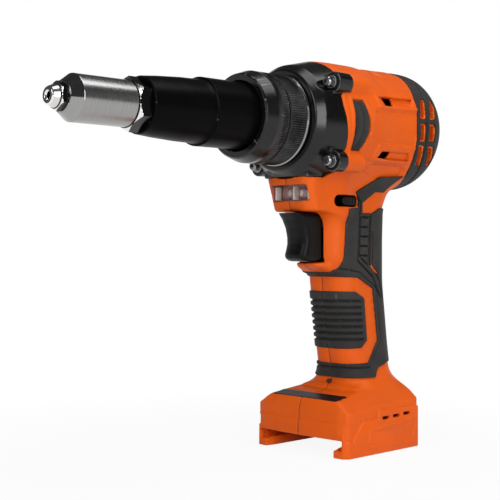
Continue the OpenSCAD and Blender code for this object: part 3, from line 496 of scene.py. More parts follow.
RUBBER = [(-16.6, 148), (-14.8, 118.9), (-14, 115.5), (-13, 112.6), (-12, 110.9), (-10, 110.4),
          (-10, 106.4), (-27.7, 105.7),
          (-41.9, 98.6), (-46.7, 65.7), (-37.1, 52.3), (0, 51.8), (0, 43.4), (-41, 43.4), (-46, 48.5),
          (-56, 51.5), (-80, 52), (-80, 149), (-47.6, 149), (-40.5, 145.6), (-31.2, 145.6), (-30.9, 151.6),
          (-43, 158.9), (-51, 158.9), (-66, 169.5), (-44.2, 168.2), (-24.4, 158.4), (-27.3, 154.5),
          (-27, 148.8)]
ORANGE_LINE = [(-41.2, 134), (-41, 112.5), (-46.5, 107.8)]
RIB_PAD = [(0, 97.5), (-25.8, 96.9), (-33.7, 92.8), (-36.4, 66.3), (-31.1, 61.9), (0, 61)]


def seat_edge(z):
    """Where the shell ends on the gearbox: it laps over the casting between the lugs."""
    return np.interp(z, (178, 183, 187, 194, 201, 207, 213, 219, 224),
                     (0, 1.5, 2, 3.5, 4.9, 6.4, 6.5, 3, 1.7))


def seat_lap(a, z):
    """The same edge, and a step forward to the short lower lugs."""
    lower = np.hypot(a - LUG_Y, z - AXIS + LUG_DOWN) < LUG_R + 1.5
    return np.where(lower, LUG_ENDS[1][1] + 0.3, seat_edge(z))


def rubber_zone(s, a, z):
    """Below zero inside the outlines of the grip's rubber."""
    zone = np.minimum(polygon_field(s, z, RUBBER), polygon_field(s, z, RIB_PAD))
    strip = np.maximum(np.maximum(np.abs(z - 75) - 8, a - 7), s + 50)
    zone = np.maximum(zone, -strip)
    return np.maximum(zone, 0.45 - path_field(s, z, ORANGE_LINE))


def outer_housing(s, y, z):
    """The housing's outside with all its relief."""
    a = np.abs(y)
    stem = join(grip_field(s, a, z), guard_field(s, a, z), GUARD_FILLET)
    foot = foot_field(s, a, z) - foot_relief(s, z) * ease((a - 30) / 6)
    stem = join(stem, foot, FLARE)
    stem = join(stem, neck_field(s, a, z), finger_fillet(s))
    body = body_field(s, a, z) - side_relief(s, z) * ease((a - 8) / 14)
    body -= top_relief(s, a) * (z > AXIS)
    body = join(common(body, s - seat_edge(z), 1.0), shoulder_field(s, a, z), 2.5)
    found = join(stem, body, 7) + press(rubber_zone(s, a, z) + 0.4, RUBBER_SEAT, 0.8)
    return np.maximum(found, np.minimum(s - seat_lap(a, z), z - chin_height(s)))


WINDOW_DEPTH = 8.0


def window_field(s, z):
    found = polygon_field(s, z, WINDOWS[0])
    for outline in WINDOWS[1:]:
        found = np.minimum(found, polygon_field(s, z, outline))
    return found


def openings(s, y, z):
    """All that is cut out of the housing from outside."""
    a = np.abs(y)
    body = body_field(s, a, z)
    windows = window_field(s, z)
    seat = np.maximum(bumper_zone(s, z), -(body + 2.4))
    cut = np.maximum(seat, 0.6 - windows)
    cut = np.minimum(cut, np.maximum(windows + 0.15, np.maximum(-(body + WINDOW_DEPTH), 6 - a)))
    for outline in VENTS:
        cut = np.minimum(cut, np.maximum(polygon_field(s, z, outline), 20 - a))
    for up, back in LUG_ENDS:
        lug = np.hypot(a - LUG_Y, z - AXIS - up) - LUG_R - 0.15
        cut = np.minimum(cut, np.maximum(lug, back - 0.1 - s))
    pocket = box_field(s, z, (14, 130.4), (26, 15.2), 5)
    cut = np.minimum(cut, np.maximum(pocket, a - POCKET_HALF))
    cut = np.minimum(cut, np.maximum(selector_slot(s, z), 9 - a))
    lamp = box_field(a, z, (0, 157), (15.1, 4.85), 1.2)
    cut = np.minimum(cut, np.maximum(lamp, 7 - s))
    lead = 1.0 * ease((s + 1) / 7)
    wide = np.maximum(np.abs(z - 7.5) - 2 - lead, a - 33 - lead)
    deep = np.maximum(z - 7, a - 27 - lead)
    cut = np.minimum(cut, np.maximum(np.minimum(wide, deep), -57 - s))
    along, up = deck(s, z)
    panel = box_field(along, a, (5.6, 0), (5.45, 26.2), 1)
    cut = np.minimum(cut, np.maximum(panel, np.abs(up - 1.3) - 2.0))
    for vs, vz in FOOT_VENTS:
        cut = np.minimum(cut, np.maximum(box_field(s, z, (vs, vz), (3.2, 0.9), 0.5), 34 - a))
    return cut


def hollow(s, y, z):
    """The room inside the housing."""
    a = np.abs(y)
    body = np.maximum(body_field(s, a, z) + WALL, -s - REAR_LEN + WALL + 2.6)
    stem = np.maximum(grip_field(s, a, z) + WALL, 32 - z)
    stem = np.minimum(stem, np.maximum(neck_field(s, a, z) + WALL, 149 - z))
    foot = np.maximum(foot_field(s, a, z) + WALL, np.abs(z - 19.9) - 7.6)
    room = np.minimum(np.minimum(body, stem), foot)
    backing = np.maximum(window_field(s, z) - 2, -(body_field(s, a, z) + WINDOW_DEPTH + 2.2))
    return np.maximum(room, -np.maximum(backing, 6 - a))


def half_field(side):
    def field(s, y, z):
        found = outer_housing(s, y, z)
        room = hollow(s, y, z)
        cut = openings(s, y, z)
        if side < 0:
            for ss, sz, depth in SCREWS:
                reach = np.hypot(s - ss, z - sz)
                room = np.maximum(room, 4.6 - reach)
                cut = np.minimum(cut, np.maximum(reach - 3.1, y + depth - 2.5))
        found = np.maximum(found, -room)
        found = carve(found, cut, 0.7)
        return np.maximum(found, -side * y)
    return field


def housing_half(name, side):
    """One half, with its rim at the middle drawn sharp."""
    step = HOUSING_STEP
    low = np.array((-REAR_LEN - 2, -step / 2 if side > 0 else -40, -2))
    if side < 0:
        low[1] = -step * (math.ceil(40 / step) + 0.5)
    high = (22, 40 if side > 0 else step * 3, AXIS + 41)
    field = half_field(side)
    points, faces = net(field, low, high, step)
    points = settle(field, points, SETTLE_ROUNDS, step / 2)
    rim = np.abs(points[:, 1]) < 0.55 * step
    edge = points[rim]
    edge[:, 1] = 0
    free = lambda s, y, z: field(s, y + side * RIM_PROBE, z)
    flat = sample(free, edge)
    at_rim = np.abs(flat) < 0.8 * step
    moved = edge[at_rim]
    for _ in range(SETTLE_ROUNDS):
        here = sample(free, moved)
        ds = (sample(free, moved + np.float32((SLOPE_STEP, 0, 0))) - here) / SLOPE_STEP
        dz = (sample(free, moved + np.float32((0, 0, SLOPE_STEP))) - here) / SLOPE_STEP
        go = np.clip(-(here + RIM_SINK) / np.maximum(ds * ds + dz * dz, 0.3), -step / 2, step / 2)
        moved[:, 0] += ds * go
        moved[:, 2] += dz * go
    edge[at_rim] = moved
    points[rim] = edge
    return thinned(add_mesh(name, points, faces, HOUSING_SHARP), HOUSING_KEPT, HOUSING_SHARP)


HOUSING_STEP = 0.7
HOUSING_KEPT = 0.45
HOUSING_SHARP = 44
left_housing = housing_half("left_shell", 1)
right_housing = housing_half("right_shell", -1)

# %% [markdown]
# ## Rubber
# The grip's rubber is moulded over the shell, about a millimetre thick. It is a skin over the plain
# form, kept inside outlines seen from the side. Grooves, the ladder of pads and the ribs are cut into
# its height. The bumper and the crescent pads are made the same way.

# %% Grip rubber
RUBBER_T = 0.95
PIN, PIN_R = (-20.6, 41.0), 1.6
SEAM = [(-28.9, 153), (-27, 116), (-41.5, 106), (-49, 93)]
REAR_SEAM = [(-39.2, 146), (-38.6, 114), (-47.5, 104.5), (-52, 93)]
LADDER = [(-29.6, 143), (-38, 143), (-36.8, 113), (-28.6, 119)]
FRAME_SEAM = [(-20, 49.5), (-38, 49.5), (-49.5, 66), (-45, 99), (-29, 109), (-12, 111.6)]


def rubber_height(s, a, z):
    """How far the rubber stands over the shell, with its grooves."""
    rise = RUBBER_T + 0 * s
    for line in (SEAM, REAR_SEAM):
        rise -= 1.9 * ease(1 - path_field(s, z, line) / 1.0)
    rise -= 0.9 * ease(1 - path_field(s, z, FRAME_SEAM) / 0.9)
    ladder = polygon_field(s, z, LADDER)
    rise -= 1.7 * ease(1 - np.abs(ladder) / 0.9)
    rung = np.abs((z - 137) / 5.9 - np.round((z - 137) / 5.9)) * 5.9
    rise -= 1.7 * ease(1 - rung / 0.9) * (ladder < 0)
    pad = polygon_field(s, z, RIB_PAD)
    wave = (z - 91.2) / 4.0
    groove = np.abs(wave - np.round(wave)) * 4.0
    ribbed = ease((-pad - 1.4) / 2.2) * ((z > 65.2) & (z < 93.2))
    rise -= 1.5 * ease(1 - groove / 1.3) * ribbed
    return np.maximum(rise, -0.85)


def grip_rubber(side):
    def field(s, y, z):
        a = np.abs(y)
        base = plain_housing(s, a, z)
        skin = common(base - rubber_height(s, a, z), rubber_zone(s, a, z), 0.7)
        skin = np.maximum(skin, 0.4 - selector_slot(s, z))
        skin = np.maximum(skin, -(base + RUBBER_SEAT + 0.3))
        pin = np.sqrt((s - PIN[0]) ** 2 + y * y + (z - PIN[1]) ** 2) - PIN_R
        return np.maximum(np.minimum(skin, pin), 0.12 - side * y)
    return field


RUBBER_STEP = 0.5
left_grip = moulded("left_rubber", grip_rubber(1), (-72, -0.4, 40), (18, 26, 173), RUBBER_STEP, 0.4)
right_grip = moulded("right_rubber", grip_rubber(-1), (-72, -26, 40), (18, 1.1, 173), RUBBER_STEP, 0.4)


# %% Rear bumper
def bumper_field(s, y, z):
    a = np.abs(y)
    body = body_field(s, a, z)
    zone = bumper_zone(s, z)
    groove = ease(1 - np.abs(zone + BUMPER_FRONT - GROOVE) / 0.9)
    ring = ease(1 - np.abs(np.hypot(a, z - AXIS) - REAR_RING) / 1.1) * (s < DOME / 2 - REAR_LEN)
    skin = common(body - BUMPER_RISE + 1.6 * groove + 1.1 * ring, zone + 0.15, 0.9)
    for outline in WINDOWS:
        skin = carve(skin, np.maximum(polygon_field(s, z, outline) - 0.75, 6 - a), 0.4)
    return np.maximum(skin, -(body + 2.4))


BUMPER_RISE = 0.45
REAR_RING = 23.0
bumper = moulded("bumper_skin", bumper_field, (-99, -40, AXIS - 41), (-60, 40, AXIS + 41), RUBBER_STEP, 0.5)


# %% Crescent pads
def crescent_field(side):
    def field(s, y, z):
        a = np.abs(y)
        body = body_field(s, a, z)
        outline = polygon_field(s, z, CRESCENT) + 0.1
        inward = s + 10.4 + 5.2 * (1 - ((z - 197) / 15) ** 2)
        ribs = 0.8 * np.cos((inward - 2.3) * 2 * math.pi / 5.3)
        skin = common(body + 0.1 - ribs, outline, 0.5)
        return np.maximum(np.maximum(skin, -(body + 1.6)), 20 - side * y)
    return field


left_pad = moulded("left_crescent", crescent_field(1), (-19, 25, 178), (3, 41, 214), 0.45, 0.6)
right_pad = moulded("right_crescent", crescent_field(-1), (-19, -41, 178), (3, -25, 214), 0.45, 0.6)

# %% [markdown]
# ## Gearbox
# The gearbox is a die casting: a turned flange with four lugs that grow out of it in soft blends. The
# lugs reach back over the shell, and each takes a cap screw on a washer.

# %% Gearbox casting
NECK_R = 23.5
SPOT_R = 4.8
NECK_END = 54.0


def gearbox_field(s, y, z):
    a = np.abs(y)
    rho = np.hypot(a, z - AXIS)
    cone = (rho - np.interp(s, *zip(*FLANGE))) * 0.97
    flange = common(np.maximum(cone, -s), s - 24, 0.8)
    block = np.maximum(np.maximum(a - 17.9, s - 18.4), np.maximum(-s, z - AXIS + 20))
    found = common(join(flange, block, 1.5), chin_height(s) + 0.1 - z, 0.8)
    found = np.maximum(found, -s)
    for up, back in LUG_ENDS:
        reach = np.hypot(a - LUG_Y, z - AXIS - up)
        lug = common(common(reach - LUG_R, s - LUG_FRONT, 0.4), back - s, 1.0)
        found = join(found, lug, 1.6)
        spot = np.maximum(reach - SPOT_R, LUG_FRONT - s)
        found = carve(found, spot, 0.25)
        found = np.maximum(found, 2.7 - reach)
    neck = np.maximum(rho - NECK_R, np.maximum(-s, s - NECK_END))
    found = np.minimum(found, neck)
    return np.maximum(found, 19.45 - rho)


GEARBOX_STEP = 0.5
gearbox = moulded("gearbox_casting", gearbox_field, (-15, -40, AXIS - 41), (56, 40, AXIS + 40),
                  GEARBOX_STEP, 0.45)


# %% [markdown]
# ## Turned pieces
# Rings, sleeves and nuts come off a lathe, so each is a profile with rounded corners swept round the
# axis. The knurl and the hexagons are made by changing the radius with the angle.

# %% Lathe
EDGE_BAND = 0.04


def rounded_profile(corners, arc=4):
    """A closed profile of stations and radii; each corner may have its own rounding."""
    path = []
    count = len(corners)
    for i, (s, r, *soft) in enumerate(corners):
        here = np.array((s, r), float)
        soft = soft[0] if soft else 0.0
        if soft <= 0:
            path.append(here)
            continue
        back = np.array(corners[i - 1][:2], float) - here
        ahead = np.array(corners[(i + 1) % count][:2], float) - here
        back, ahead = back / np.linalg.norm(back), ahead / np.linalg.norm(ahead)
        turn = math.acos(np.clip(np.dot(back, ahead), -1, 1))
        reach = soft / math.tan(turn / 2)
        start, end = here + back * reach, here + ahead * reach
        path.append(start + back * EDGE_BAND)
        for k in range(arc + 1):
            t = k / arc
            path.append((1 - t) ** 2 * start + 2 * t * (1 - t) * here + t * t * end)
        path.append(end + ahead * EDGE_BAND)
    return np.array(path)


def turned(name, corners, around=192, shape=None, sharp=35, middle=(0.0, None)):
    """A piece swept round the barrel's axis, or round another line along it."""
    path = rounded_profile(corners)
    angle = np.arange(around) * 2 * math.pi / around
    s, r = path[:, 0][None, :], path[:, 1][None, :]
    s, r = np.broadcast_to(s, (around, len(path))), np.broadcast_to(r, (around, len(path)))
    if shape:
        r = shape(angle[:, None], s, r)
    mid_z = AXIS if middle[1] is None else middle[1]
    points = np.stack([s, middle[0] + r * np.sin(angle)[:, None], mid_z + r * np.cos(angle)[:, None]], -1)
    n = len(path)
    i, k = np.meshgrid(np.arange(around), np.arange(n), indexing="ij")
    i2, k2 = (i + 1) % around, (k + 1) % n
    faces = np.stack([i * n + k, i2 * n + k, i2 * n + k2, i * n + k2], -1).reshape(-1, 4)
    piece = add_mesh(name, points.reshape(-1, 3), faces, sharp)
    print(name, len(piece.data.polygons), "faces")
    return piece


def hexagon(across):
    """Limits a radius to a hexagon with flat sides that far apart."""
    def limit(angle, s, r):
        bend = np.mod(angle, math.pi / 3) - math.pi / 6
        return np.minimum(r, across / 2 / np.cos(bend))
    return limit


print("lathe ready")

# %% Rings in front of the gearbox
ring_s, knurl_s, ring_r = stations("retaining_ring")
collar_s, sleeve_s, knurl_r = stations("front_housing")
retaining_ring = turned("thin_ring", [
    (ring_s + 0.9, NECK_R + 0.1), (ring_s + 0.9, 26.6, 0.3), (ring_s + 1.5, 26.6, 0.2),
    (knurl_s - 0.8, ring_r - 0.1, 0.2), (knurl_s, knurl_r - 0.1, 0.1), (knurl_s, NECK_R + 0.1)])
KNURL_TEETH = 126
CAP_KNURL = 6.4


def knurl(angle, s, r):
    wave = 0.5 + 0.5 * np.cos(angle * KNURL_TEETH)
    on_collar = ease((s - knurl_s - 0.4) / 0.8) * ease((collar_s - 0.5 - s) / 0.6)
    on_cap = ease((s - collar_s - 0.9) / 0.5) * ease((collar_s + CAP_KNURL - s) / 1.2)
    return r - 0.55 * wave * np.maximum(on_collar, on_cap) * (r > NECK_R + 1)


knurl_steps = [(knurl_s + t * (collar_s - knurl_s), knurl_r) for t in (0.06, 0.12, 0.5, 0.88, 0.94)]
knurled_collar = turned("fine_knurl", [
    (knurl_s, NECK_R + 0.1), (knurl_s, knurl_r, 0.4)] + knurl_steps + [
    (collar_s, knurl_r, 0.3), (collar_s, NECK_R + 0.1)], around=1008, shape=knurl)
cap_steps = [(collar_s + t, 26.8) for t in (1.4, 2.0, 4.5, 5.4, 6.2)]
front_housing = turned("front_cap", [
    (collar_s, NECK_R + 0.1), (collar_s, 26.0, 0.2), (collar_s + 0.6, 26.0, 0.2), (collar_s + 1.0, 26.8, 0.2)]
    + cap_steps + [(collar_s + 9.8, 26.8, 0.6), (sleeve_s - 1.0, 24.6, 0.3), (sleeve_s, 23.8, 0.3),
    (sleeve_s, 20.6, 0.4), (sleeve_s - 1.2, 19.6, 0.3), (sleeve_s - 4.4, 19.4),
    (sleeve_s - 4.4, NECK_R + 0.1)], around=1008, shape=knurl)

# %% Barrel
hex_s = stations("front_sleeve")[1]
tube_s, tip_s, tube_r = stations("nose_sleeve")
taper_s = sleeve_s + 30.5
front_sleeve = turned("barrel_sleeve", [
    (sleeve_s - 6, 14), (sleeve_s - 6, 19.3), (taper_s - 0.4, 19.3, 0.5), (taper_s + 0.3, 18.2, 0.3),
    (taper_s + 3, 17.8, 2), (taper_s + 15, 17.5, 6), (hex_s - 10, 16.5, 4), (hex_s - 0.6, 15.6, 0.4),
    (hex_s, 15.0, 0.2), (hex_s, 9.6), (sleeve_s + 10, 9.6), (sleeve_s + 10, 14)])
HEX_AF = 25.8
HEX_CORNER = HEX_AF / math.sqrt(3)
hex_steps = [(tube_s - 2.2 + 0.2 * k, HEX_CORNER + 0.1 - 0.21 * k) for k in range(1, 11)]
hex_locknut = turned("hex_nut", [
    (hex_s, 9.6), (hex_s, HEX_CORNER - 1.0, 0.2), (hex_s + 0.35, HEX_CORNER - 0.4), (hex_s + 0.7, HEX_CORNER)]
    + [(tube_s - 2.2, HEX_CORNER)] + hex_steps + [(tube_s, HEX_CORNER - 2.7, 0.2), (tube_s, 9.6)],
    around=144, shape=hexagon(HEX_AF), sharp=20)
cone_s = tip_s - 6
nose_sleeve = turned("nose_tube", [
    (tube_s, 10.9), (tube_s, 11.9, 0.2), (tube_s + 0.6, tube_r, 0.4), (cone_s, tube_r, 0.9),
    (tip_s - 0.3, 8.4, 0.5), (tip_s, 7.6, 0.2), (tip_s, 5.6), (tip_s - 9, 5.6), (tip_s - 9, 9.5),
    (tube_s + 8, 9.5), (tube_s + 8, 10.9)])
end_s = stations("nosepiece")[1]
TIP_AF = 13.4
TIP_CORNER = TIP_AF / math.sqrt(3)


def tip_shape(angle, s, r):
    return np.where(s < tip_s + 3.65, hexagon(TIP_AF)(angle, s, r), r)


nosepiece = turned("nose_tip", [
    (tip_s - 9, 1.9), (tip_s - 9, 5.5), (tip_s, 5.5), (tip_s, TIP_CORNER - 1.0),
    (tip_s + 0.4, TIP_CORNER - 0.3),
    (tip_s + 0.8, TIP_CORNER), (tip_s + 2.7, TIP_CORNER), (tip_s + 3.0, TIP_CORNER - 0.3),
    (tip_s + 3.3, TIP_CORNER - 0.7), (tip_s + 3.6, TIP_CORNER - 1.2), (tip_s + 3.7, 6.1),
    (tip_s + 4.2, 6.0, 0.3),
    (end_s - 0.9, 4.8, 0.5), (end_s, 4.2, 0.5), (end_s, 2.6, 0.3), (end_s - 1.0, 1.9)],
    around=144, shape=tip_shape, sharp=22)


# %% Cap screws and washers
def star(angle, s, r):
    """A six-lobed socket where the radius is small and near the head's face."""
    lobes = 1.4 + 0.28 * np.cos(angle * 6)
    return np.where(r < 1.75, np.minimum(r, lobes), r)


LUGS = [(side * LUG_Y, AXIS + up) for side in (1, -1) for up in (LUG_UP, -LUG_DOWN)]
HEAD_S = LUG_FRONT + 1.2


def merged(name, made):
    """Several like pieces as one."""
    points, faces, start = [], [], 0
    for piece in made:
        points += [v.co / MM - Vector((SEAT, 0, 0)) for v in piece.data.vertices]
        faces += [[start + i for i in p.vertices] for p in piece.data.polygons]
        start = len(points)
        bpy.data.objects.remove(piece)
    return add_mesh(name, points, faces, 35)


gearbox_screws = merged("cap_screws", [turned("screw", [
    (-8, 0.02), (-8, 2.3, 0.3), (HEAD_S, 2.5), (HEAD_S, 2.95, 0.2), (HEAD_S + 3.5, 3.05, 0.5),
    (HEAD_S + 4.2, 2.5, 0.3),
    (HEAD_S + 4.2, 1.72, 0.1), (HEAD_S + 2.0, 1.7), (HEAD_S + 1.8, 0.02)],
    72, star, middle=spot) for spot in LUGS])
gearbox_washers = merged("spring_washers", [turned("washer", [
    (LUG_FRONT, 2.6), (LUG_FRONT, 4.0, 0.2), (LUG_FRONT + 1.2, 4.0, 0.3), (LUG_FRONT + 1.2, 2.6)],
    72, middle=spot)
    for spot in LUGS])

# %% [markdown]
# ## Trigger, selector, lamps and display
# The trigger is a moulded finger piece with a hollow front. The selector is a small bar that shows in a
# slot on both sides. Two lamps sit behind a clear lens in the chin, and a glossy display is let into
# the foot's deck.

# %% Trigger
TRIGGER = [(18.6, 145.2), (15.2, 141.2), (12.3, 136), (10.9, 130.5), (10.8, 126.5), (11.8, 122.8),
           (12.9, 119.8),
           (12.3, 117.7), (10, 116.2), (6.6, 115.6), (-6, 115.6), (-6, 145.2)]


def trigger_field(s, y, z):
    a = np.abs(y)
    side = polygon_field(s, z, TRIGGER)
    crown = 0.022 * np.maximum(a - 1, 0) ** 2.2
    face = common(np.maximum(side, polygon_field(s + crown, z, TRIGGER)), a - 9, 3.2)
    corner = box_field(s, z, (11, 130.4), (15, 14.8), 4.5)
    body = common(face, corner, 0.5)
    stem = np.maximum(np.maximum(np.abs(z - 130.35) - 4, a - 4), np.maximum(-16 - s, s))
    return np.minimum(body, stem)


TRIGGER_STEP = 0.42
trigger = moulded("trigger_lever", trigger_field, (-18, -11, 113), (20, 11, 148), TRIGGER_STEP, 0.5)


# %% Selector bar
SELECTOR_S, SELECTOR_Z = -15.0, 152.7
SELECTOR_TURN = math.radians(10)


def selector_field(s, y, z):
    u = (s - SELECTOR_S) * math.cos(SELECTOR_TURN) + y * math.sin(SELECTOR_TURN)
    v = y * math.cos(SELECTOR_TURN) - (s - SELECTOR_S) * math.sin(SELECTOR_TURN)
    bar = box_field(u, z, (-1.8, SELECTOR_Z), (7.3, 2.8), 2.3)
    ends = np.abs(v) - 19.3 + 0.014 * (u + 4) ** 2
    rib = 0.15 * np.cos(u * 2 * math.pi / 2.4) * ease((np.abs(v) - 15) / 3)
    found = common(bar, ends + rib, 1.2)
    return np.maximum(found, 2.2 - np.hypot(s - SELECTOR_S, y))


selector = moulded("selector_bar", selector_field, (-30, -22, 148), (0, 22, 158), 0.5, 0.5)


# %% Lens and lamps
LENS_Z, LENS_BACK = 157.0, 7.6


def lens_field(s, y, z):
    a = np.abs(y)
    front = common(box_field(a, z, (0, LENS_Z), (15.05, 4.8), 1.2), neck_field(s, a, z) + 0.4, 0.4)
    back = np.maximum(box_field(a, z, (0, LENS_Z), (15.8, 5.6), 1), np.maximum(LENS_BACK - s, s - 9.8))
    solid = join(np.maximum(front, LENS_BACK - s), back, 0.3)
    cup = np.hypot(a - 5, z - LENS_Z) - 3.3
    return carve(solid, np.maximum(cup, s - 12.5), 0.5)


lens = moulded("lamp_lens", lens_field, (5, -18, 149), (20, 18, 165), 0.5, 0.6)


def tray_field(s, y, z):
    """A tray behind the lens, with a round cup for each lamp. Its dark red-brown finish is painted shade: the
    orange inside as it looks in shade.
    """
    plate = np.maximum(box_field(np.abs(y), z, (0, LENS_Z), (15.6, 5.4), 1), np.abs(s - 7.25) - 0.25)
    return carve(plate, np.hypot(np.abs(y) - 5, z - LENS_Z) - 3.0, 0.2)


tray = moulded("lamp_tray", tray_field, (6, -17, 150), (9, 17, 164), 0.4, 0.5)
lamp_spots = [(side * 5.0, LENS_Z) for side in (1, -1)]
lamps = merged("lamp_domes", [turned("lamp", [
    (7.0, 0.02), (7.0, 2.9, 0.2), (8.0, 2.9, 0.3), (8.2, 2.3, 0.2), (9.6, 1.9, 0.8), (10.4, 0.02)],
    40, middle=spot)
    for spot in lamp_spots])


def guide_field(s, y, z):
    """Light guide blades: a thin upright blade between the lamps, and one at each end. Their pale finish is a
    painted highlight: they show as bright upright streaks behind the lens.
    """
    a = np.abs(y)
    blade = np.minimum(np.abs(y - 1.2) - 0.35, np.abs(a - 13.6) - 0.6)
    return common(np.maximum(blade, np.abs(z - LENS_Z) - 4.0), np.abs(s - 10.6) - 2.4, 0.5)


pale_guides = moulded("guides_painted_highlight", guide_field, (7.5, -16, 151), (15, 16, 163), 0.35, 0.5)


# %% Display
def display_field(s, y, z):
    along, up = deck(s, z)
    plate = box_field(along, np.abs(y), (5.6, 0), (5.25, 26), 0.9)
    return common(plate, np.abs(up + 0.15) - 0.5, 0.25)


display = moulded("display_glass", display_field, (-14, -28, 30), (6, 28, 40), 0.5, 0.4)

# %% [markdown]
# ## Springs
# Two wire springs are pressed shorter as the trigger and the jaw pusher move back; they are drawn here
# as fixed coils that fill each packed spring's box.

# %% Trigger spring and jaw spring
WIRE_R = 0.4
TURNS = 5
TURN_STEPS = 28


def coil(name, node):
    """A wire coil along the barrel's direction that fills a packed spring's box."""
    low, high = span(node)
    mid = (low + high) / 2
    reach = (high[1] - low[1]) / 2 - WIRE_R
    steps = TURNS * TURN_STEPS
    turn = np.arange(steps + 1) * 2 * math.pi / TURN_STEPS
    along = low[0] - SEAT + WIRE_R + (high[0] - low[0] - 2 * WIRE_R) * np.arange(steps + 1) / steps
    around = np.arange(8) * math.pi / 4
    out = reach + WIRE_R * np.cos(around)[None, :]
    s = along[:, None] + WIRE_R * np.sin(around)[None, :]
    y = mid[1] + out * np.sin(turn)[:, None]
    z = mid[2] + out * np.cos(turn)[:, None]
    i, k = np.meshgrid(np.arange(steps), np.arange(8), indexing="ij")
    k2 = (k + 1) % 8
    faces = np.stack([i * 8 + k, i * 8 + k2, i * 8 + 8 + k2, i * 8 + 8 + k], -1).reshape(-1, 4).tolist()
    for start, order in ((0, -1), (steps * 8, 1)):
        for cap in ((0, 1, 2, 3), (0, 3, 4, 7), (4, 5, 6, 7)):
            faces.append([start + n for n in cap[::order]])
    return add_mesh(name, np.stack([s, y, z], -1).reshape(-1, 3), faces, 60)


trigger_spring = coil("trigger_coil", "trigger_spring")
jaw_spring = coil("jaw_coil", "jaw_spring")
print("springs:", [len(p.data.polygons) for p in (trigger_spring, jaw_spring)])

# %% [markdown]
# ## Finishes
# Each finish is a node tree. A small class wraps a socket, so that shader maths reads as plain Python,
# and one method adds any other node. Grain and wear are laid out in the object's own coordinates.

# %% Wires and finishes
class Wire:
    """A node's output, with arithmetic that adds Math nodes."""

    def __init__(self, finish, socket):
        self.finish, self.socket = finish, socket

    def math(self, operation, a, b=0.0):
        return self.finish.node("ShaderNodeMath", {"operation": operation}, {0: a, 1: b})

    def __add__(self, other):
        return self.math("ADD", self, other)

    def __radd__(self, other):
        return self.math("ADD", other, self)

    def __sub__(self, other):
        return self.math("SUBTRACT", self, other)

    def __rsub__(self, other):
        return self.math("SUBTRACT", other, self)

    def __mul__(self, other):
        return self.math("MULTIPLY", self, other)

    def __rmul__(self, other):
        return self.math("MULTIPLY", other, self)

    def __truediv__(self, other):
        return self.math("DIVIDE", self, other)

    def __rtruediv__(self, other):
        return self.math("DIVIDE", other, self)

    def step(self, low, high):
        """0 below low, 1 above high, with a soft change between."""
        return self.finish.node("ShaderNodeMapRange", {"interpolation_type": "SMOOTHSTEP"},
                                {"Value": self, "From Min": low, "From Max": high})


class Finish:
    """One material."""

    def __init__(self, name, **plain):
        self.material = bpy.data.materials.new(name)
        self.material.use_nodes = True
        self.tree = self.material.node_tree
        self.shader = self.tree.nodes["Principled BSDF"]
        self.place = self.node("ShaderNodeTexCoord", out="Object")
        self.set(plain)

    def node(self, kind, settings=None, sockets=None, out=0):
        made = self.tree.nodes.new(kind)
        for key, value in (settings or {}).items():
            setattr(made, key, value)
        for key, value in (sockets or {}).items():
            self.put(made.inputs[key], value)
        return Wire(self, made.outputs[out])

    def put(self, socket, value):
        if isinstance(value, Wire):
            self.tree.links.new(value.socket, socket)
        else:
            socket.default_value = value

    def set(self, values):
        for key, value in values.items():
            self.put(self.shader.inputs[key.replace("_", " ")], value)

    def noise(self, scale, detail=2.0, rough=0.5, place=None):
        return self.node("ShaderNodeTexNoise", None, {"Vector": place or self.place, "Scale": scale,
                                                      "Detail": detail, "Roughness": rough})

    def mix(self, factor, a, b):
        """One colour over another."""
        return self.node("ShaderNodeMix", {"data_type": "RGBA"}, {0: factor, 6: a, 7: b}, out=2)

    def worn(self, low, high, scale):
        """Near 1 on outer edges, broken up by noise."""
        edge = self.node("ShaderNodeNewGeometry", out="Pointiness").step(low, high)
        return edge * self.noise(scale, 3, 0.6).step(0.32, 0.62)

    def painted_crease_shade(self, low=0.42, high=0.48):
        """Near 1 in inner corners, where the finishes darken the colour as painted shade."""
        return 1 - self.node("ShaderNodeNewGeometry", out="Pointiness").step(low, high)

    def ahead(self, low, high):
        """Near 1 on faces that turn towards the nose."""
        normal = self.node("ShaderNodeNewGeometry", out="Normal")
        return self.node("ShaderNodeSeparateXYZ", None, {0: normal}, out="X").step(low, high)

    def wired(self, name):
        """What is wired to one of the shader's sockets."""
        return Wire(self, self.shader.inputs[name].links[0].from_socket)

    def bump(self, height, depth, strength=1.0):
        self.set({"Normal": self.node("ShaderNodeBump", None, {"Height": height, "Distance": depth,
                                                               "Strength": strength})})


print("finish classes ready")

# %% Moulded plastic and rubber
orange = Finish("orange_moulding", IOR=1.48, Specular_IOR_Level=0.22)
grain = orange.noise(2600, 3, 0.6)
cloud = orange.noise(28, 3, 0.55)
across = orange.node("ShaderNodeSeparateXYZ", None, {0: orange.place}, out="Y")
# Painted shade: a thin band at the middle plane darkens the parting line, and edge wear is kept off it.
painted_seam_shade = 1 - across.math("ABSOLUTE", across).step(0.0002, 0.0006)
worn = orange.worn(0.53, 0.60, 160) * (1 - painted_seam_shade)
moulded_orange = orange.mix(cloud.step(0.3, 0.7), (0.69, 0.094, 0.002, 1), (0.75, 0.106, 0.003, 1))
# Painted shade: darker orange in inner corners and along the parting line.
shaded = orange.mix(0.6 * orange.painted_crease_shade() * (1 - painted_seam_shade) + 0.8 * painted_seam_shade, moulded_orange, (0.26, 0.024, 0.001, 1))
orange.set({"Base Color": orange.mix(0.5 * worn, shaded, (0.90, 0.26, 0.05, 1)),
            "Roughness": 0.40 + 0.12 * grain + 0.06 * cloud - 0.06 * worn})
orange.bump(grain, 0.00006, 0.5)

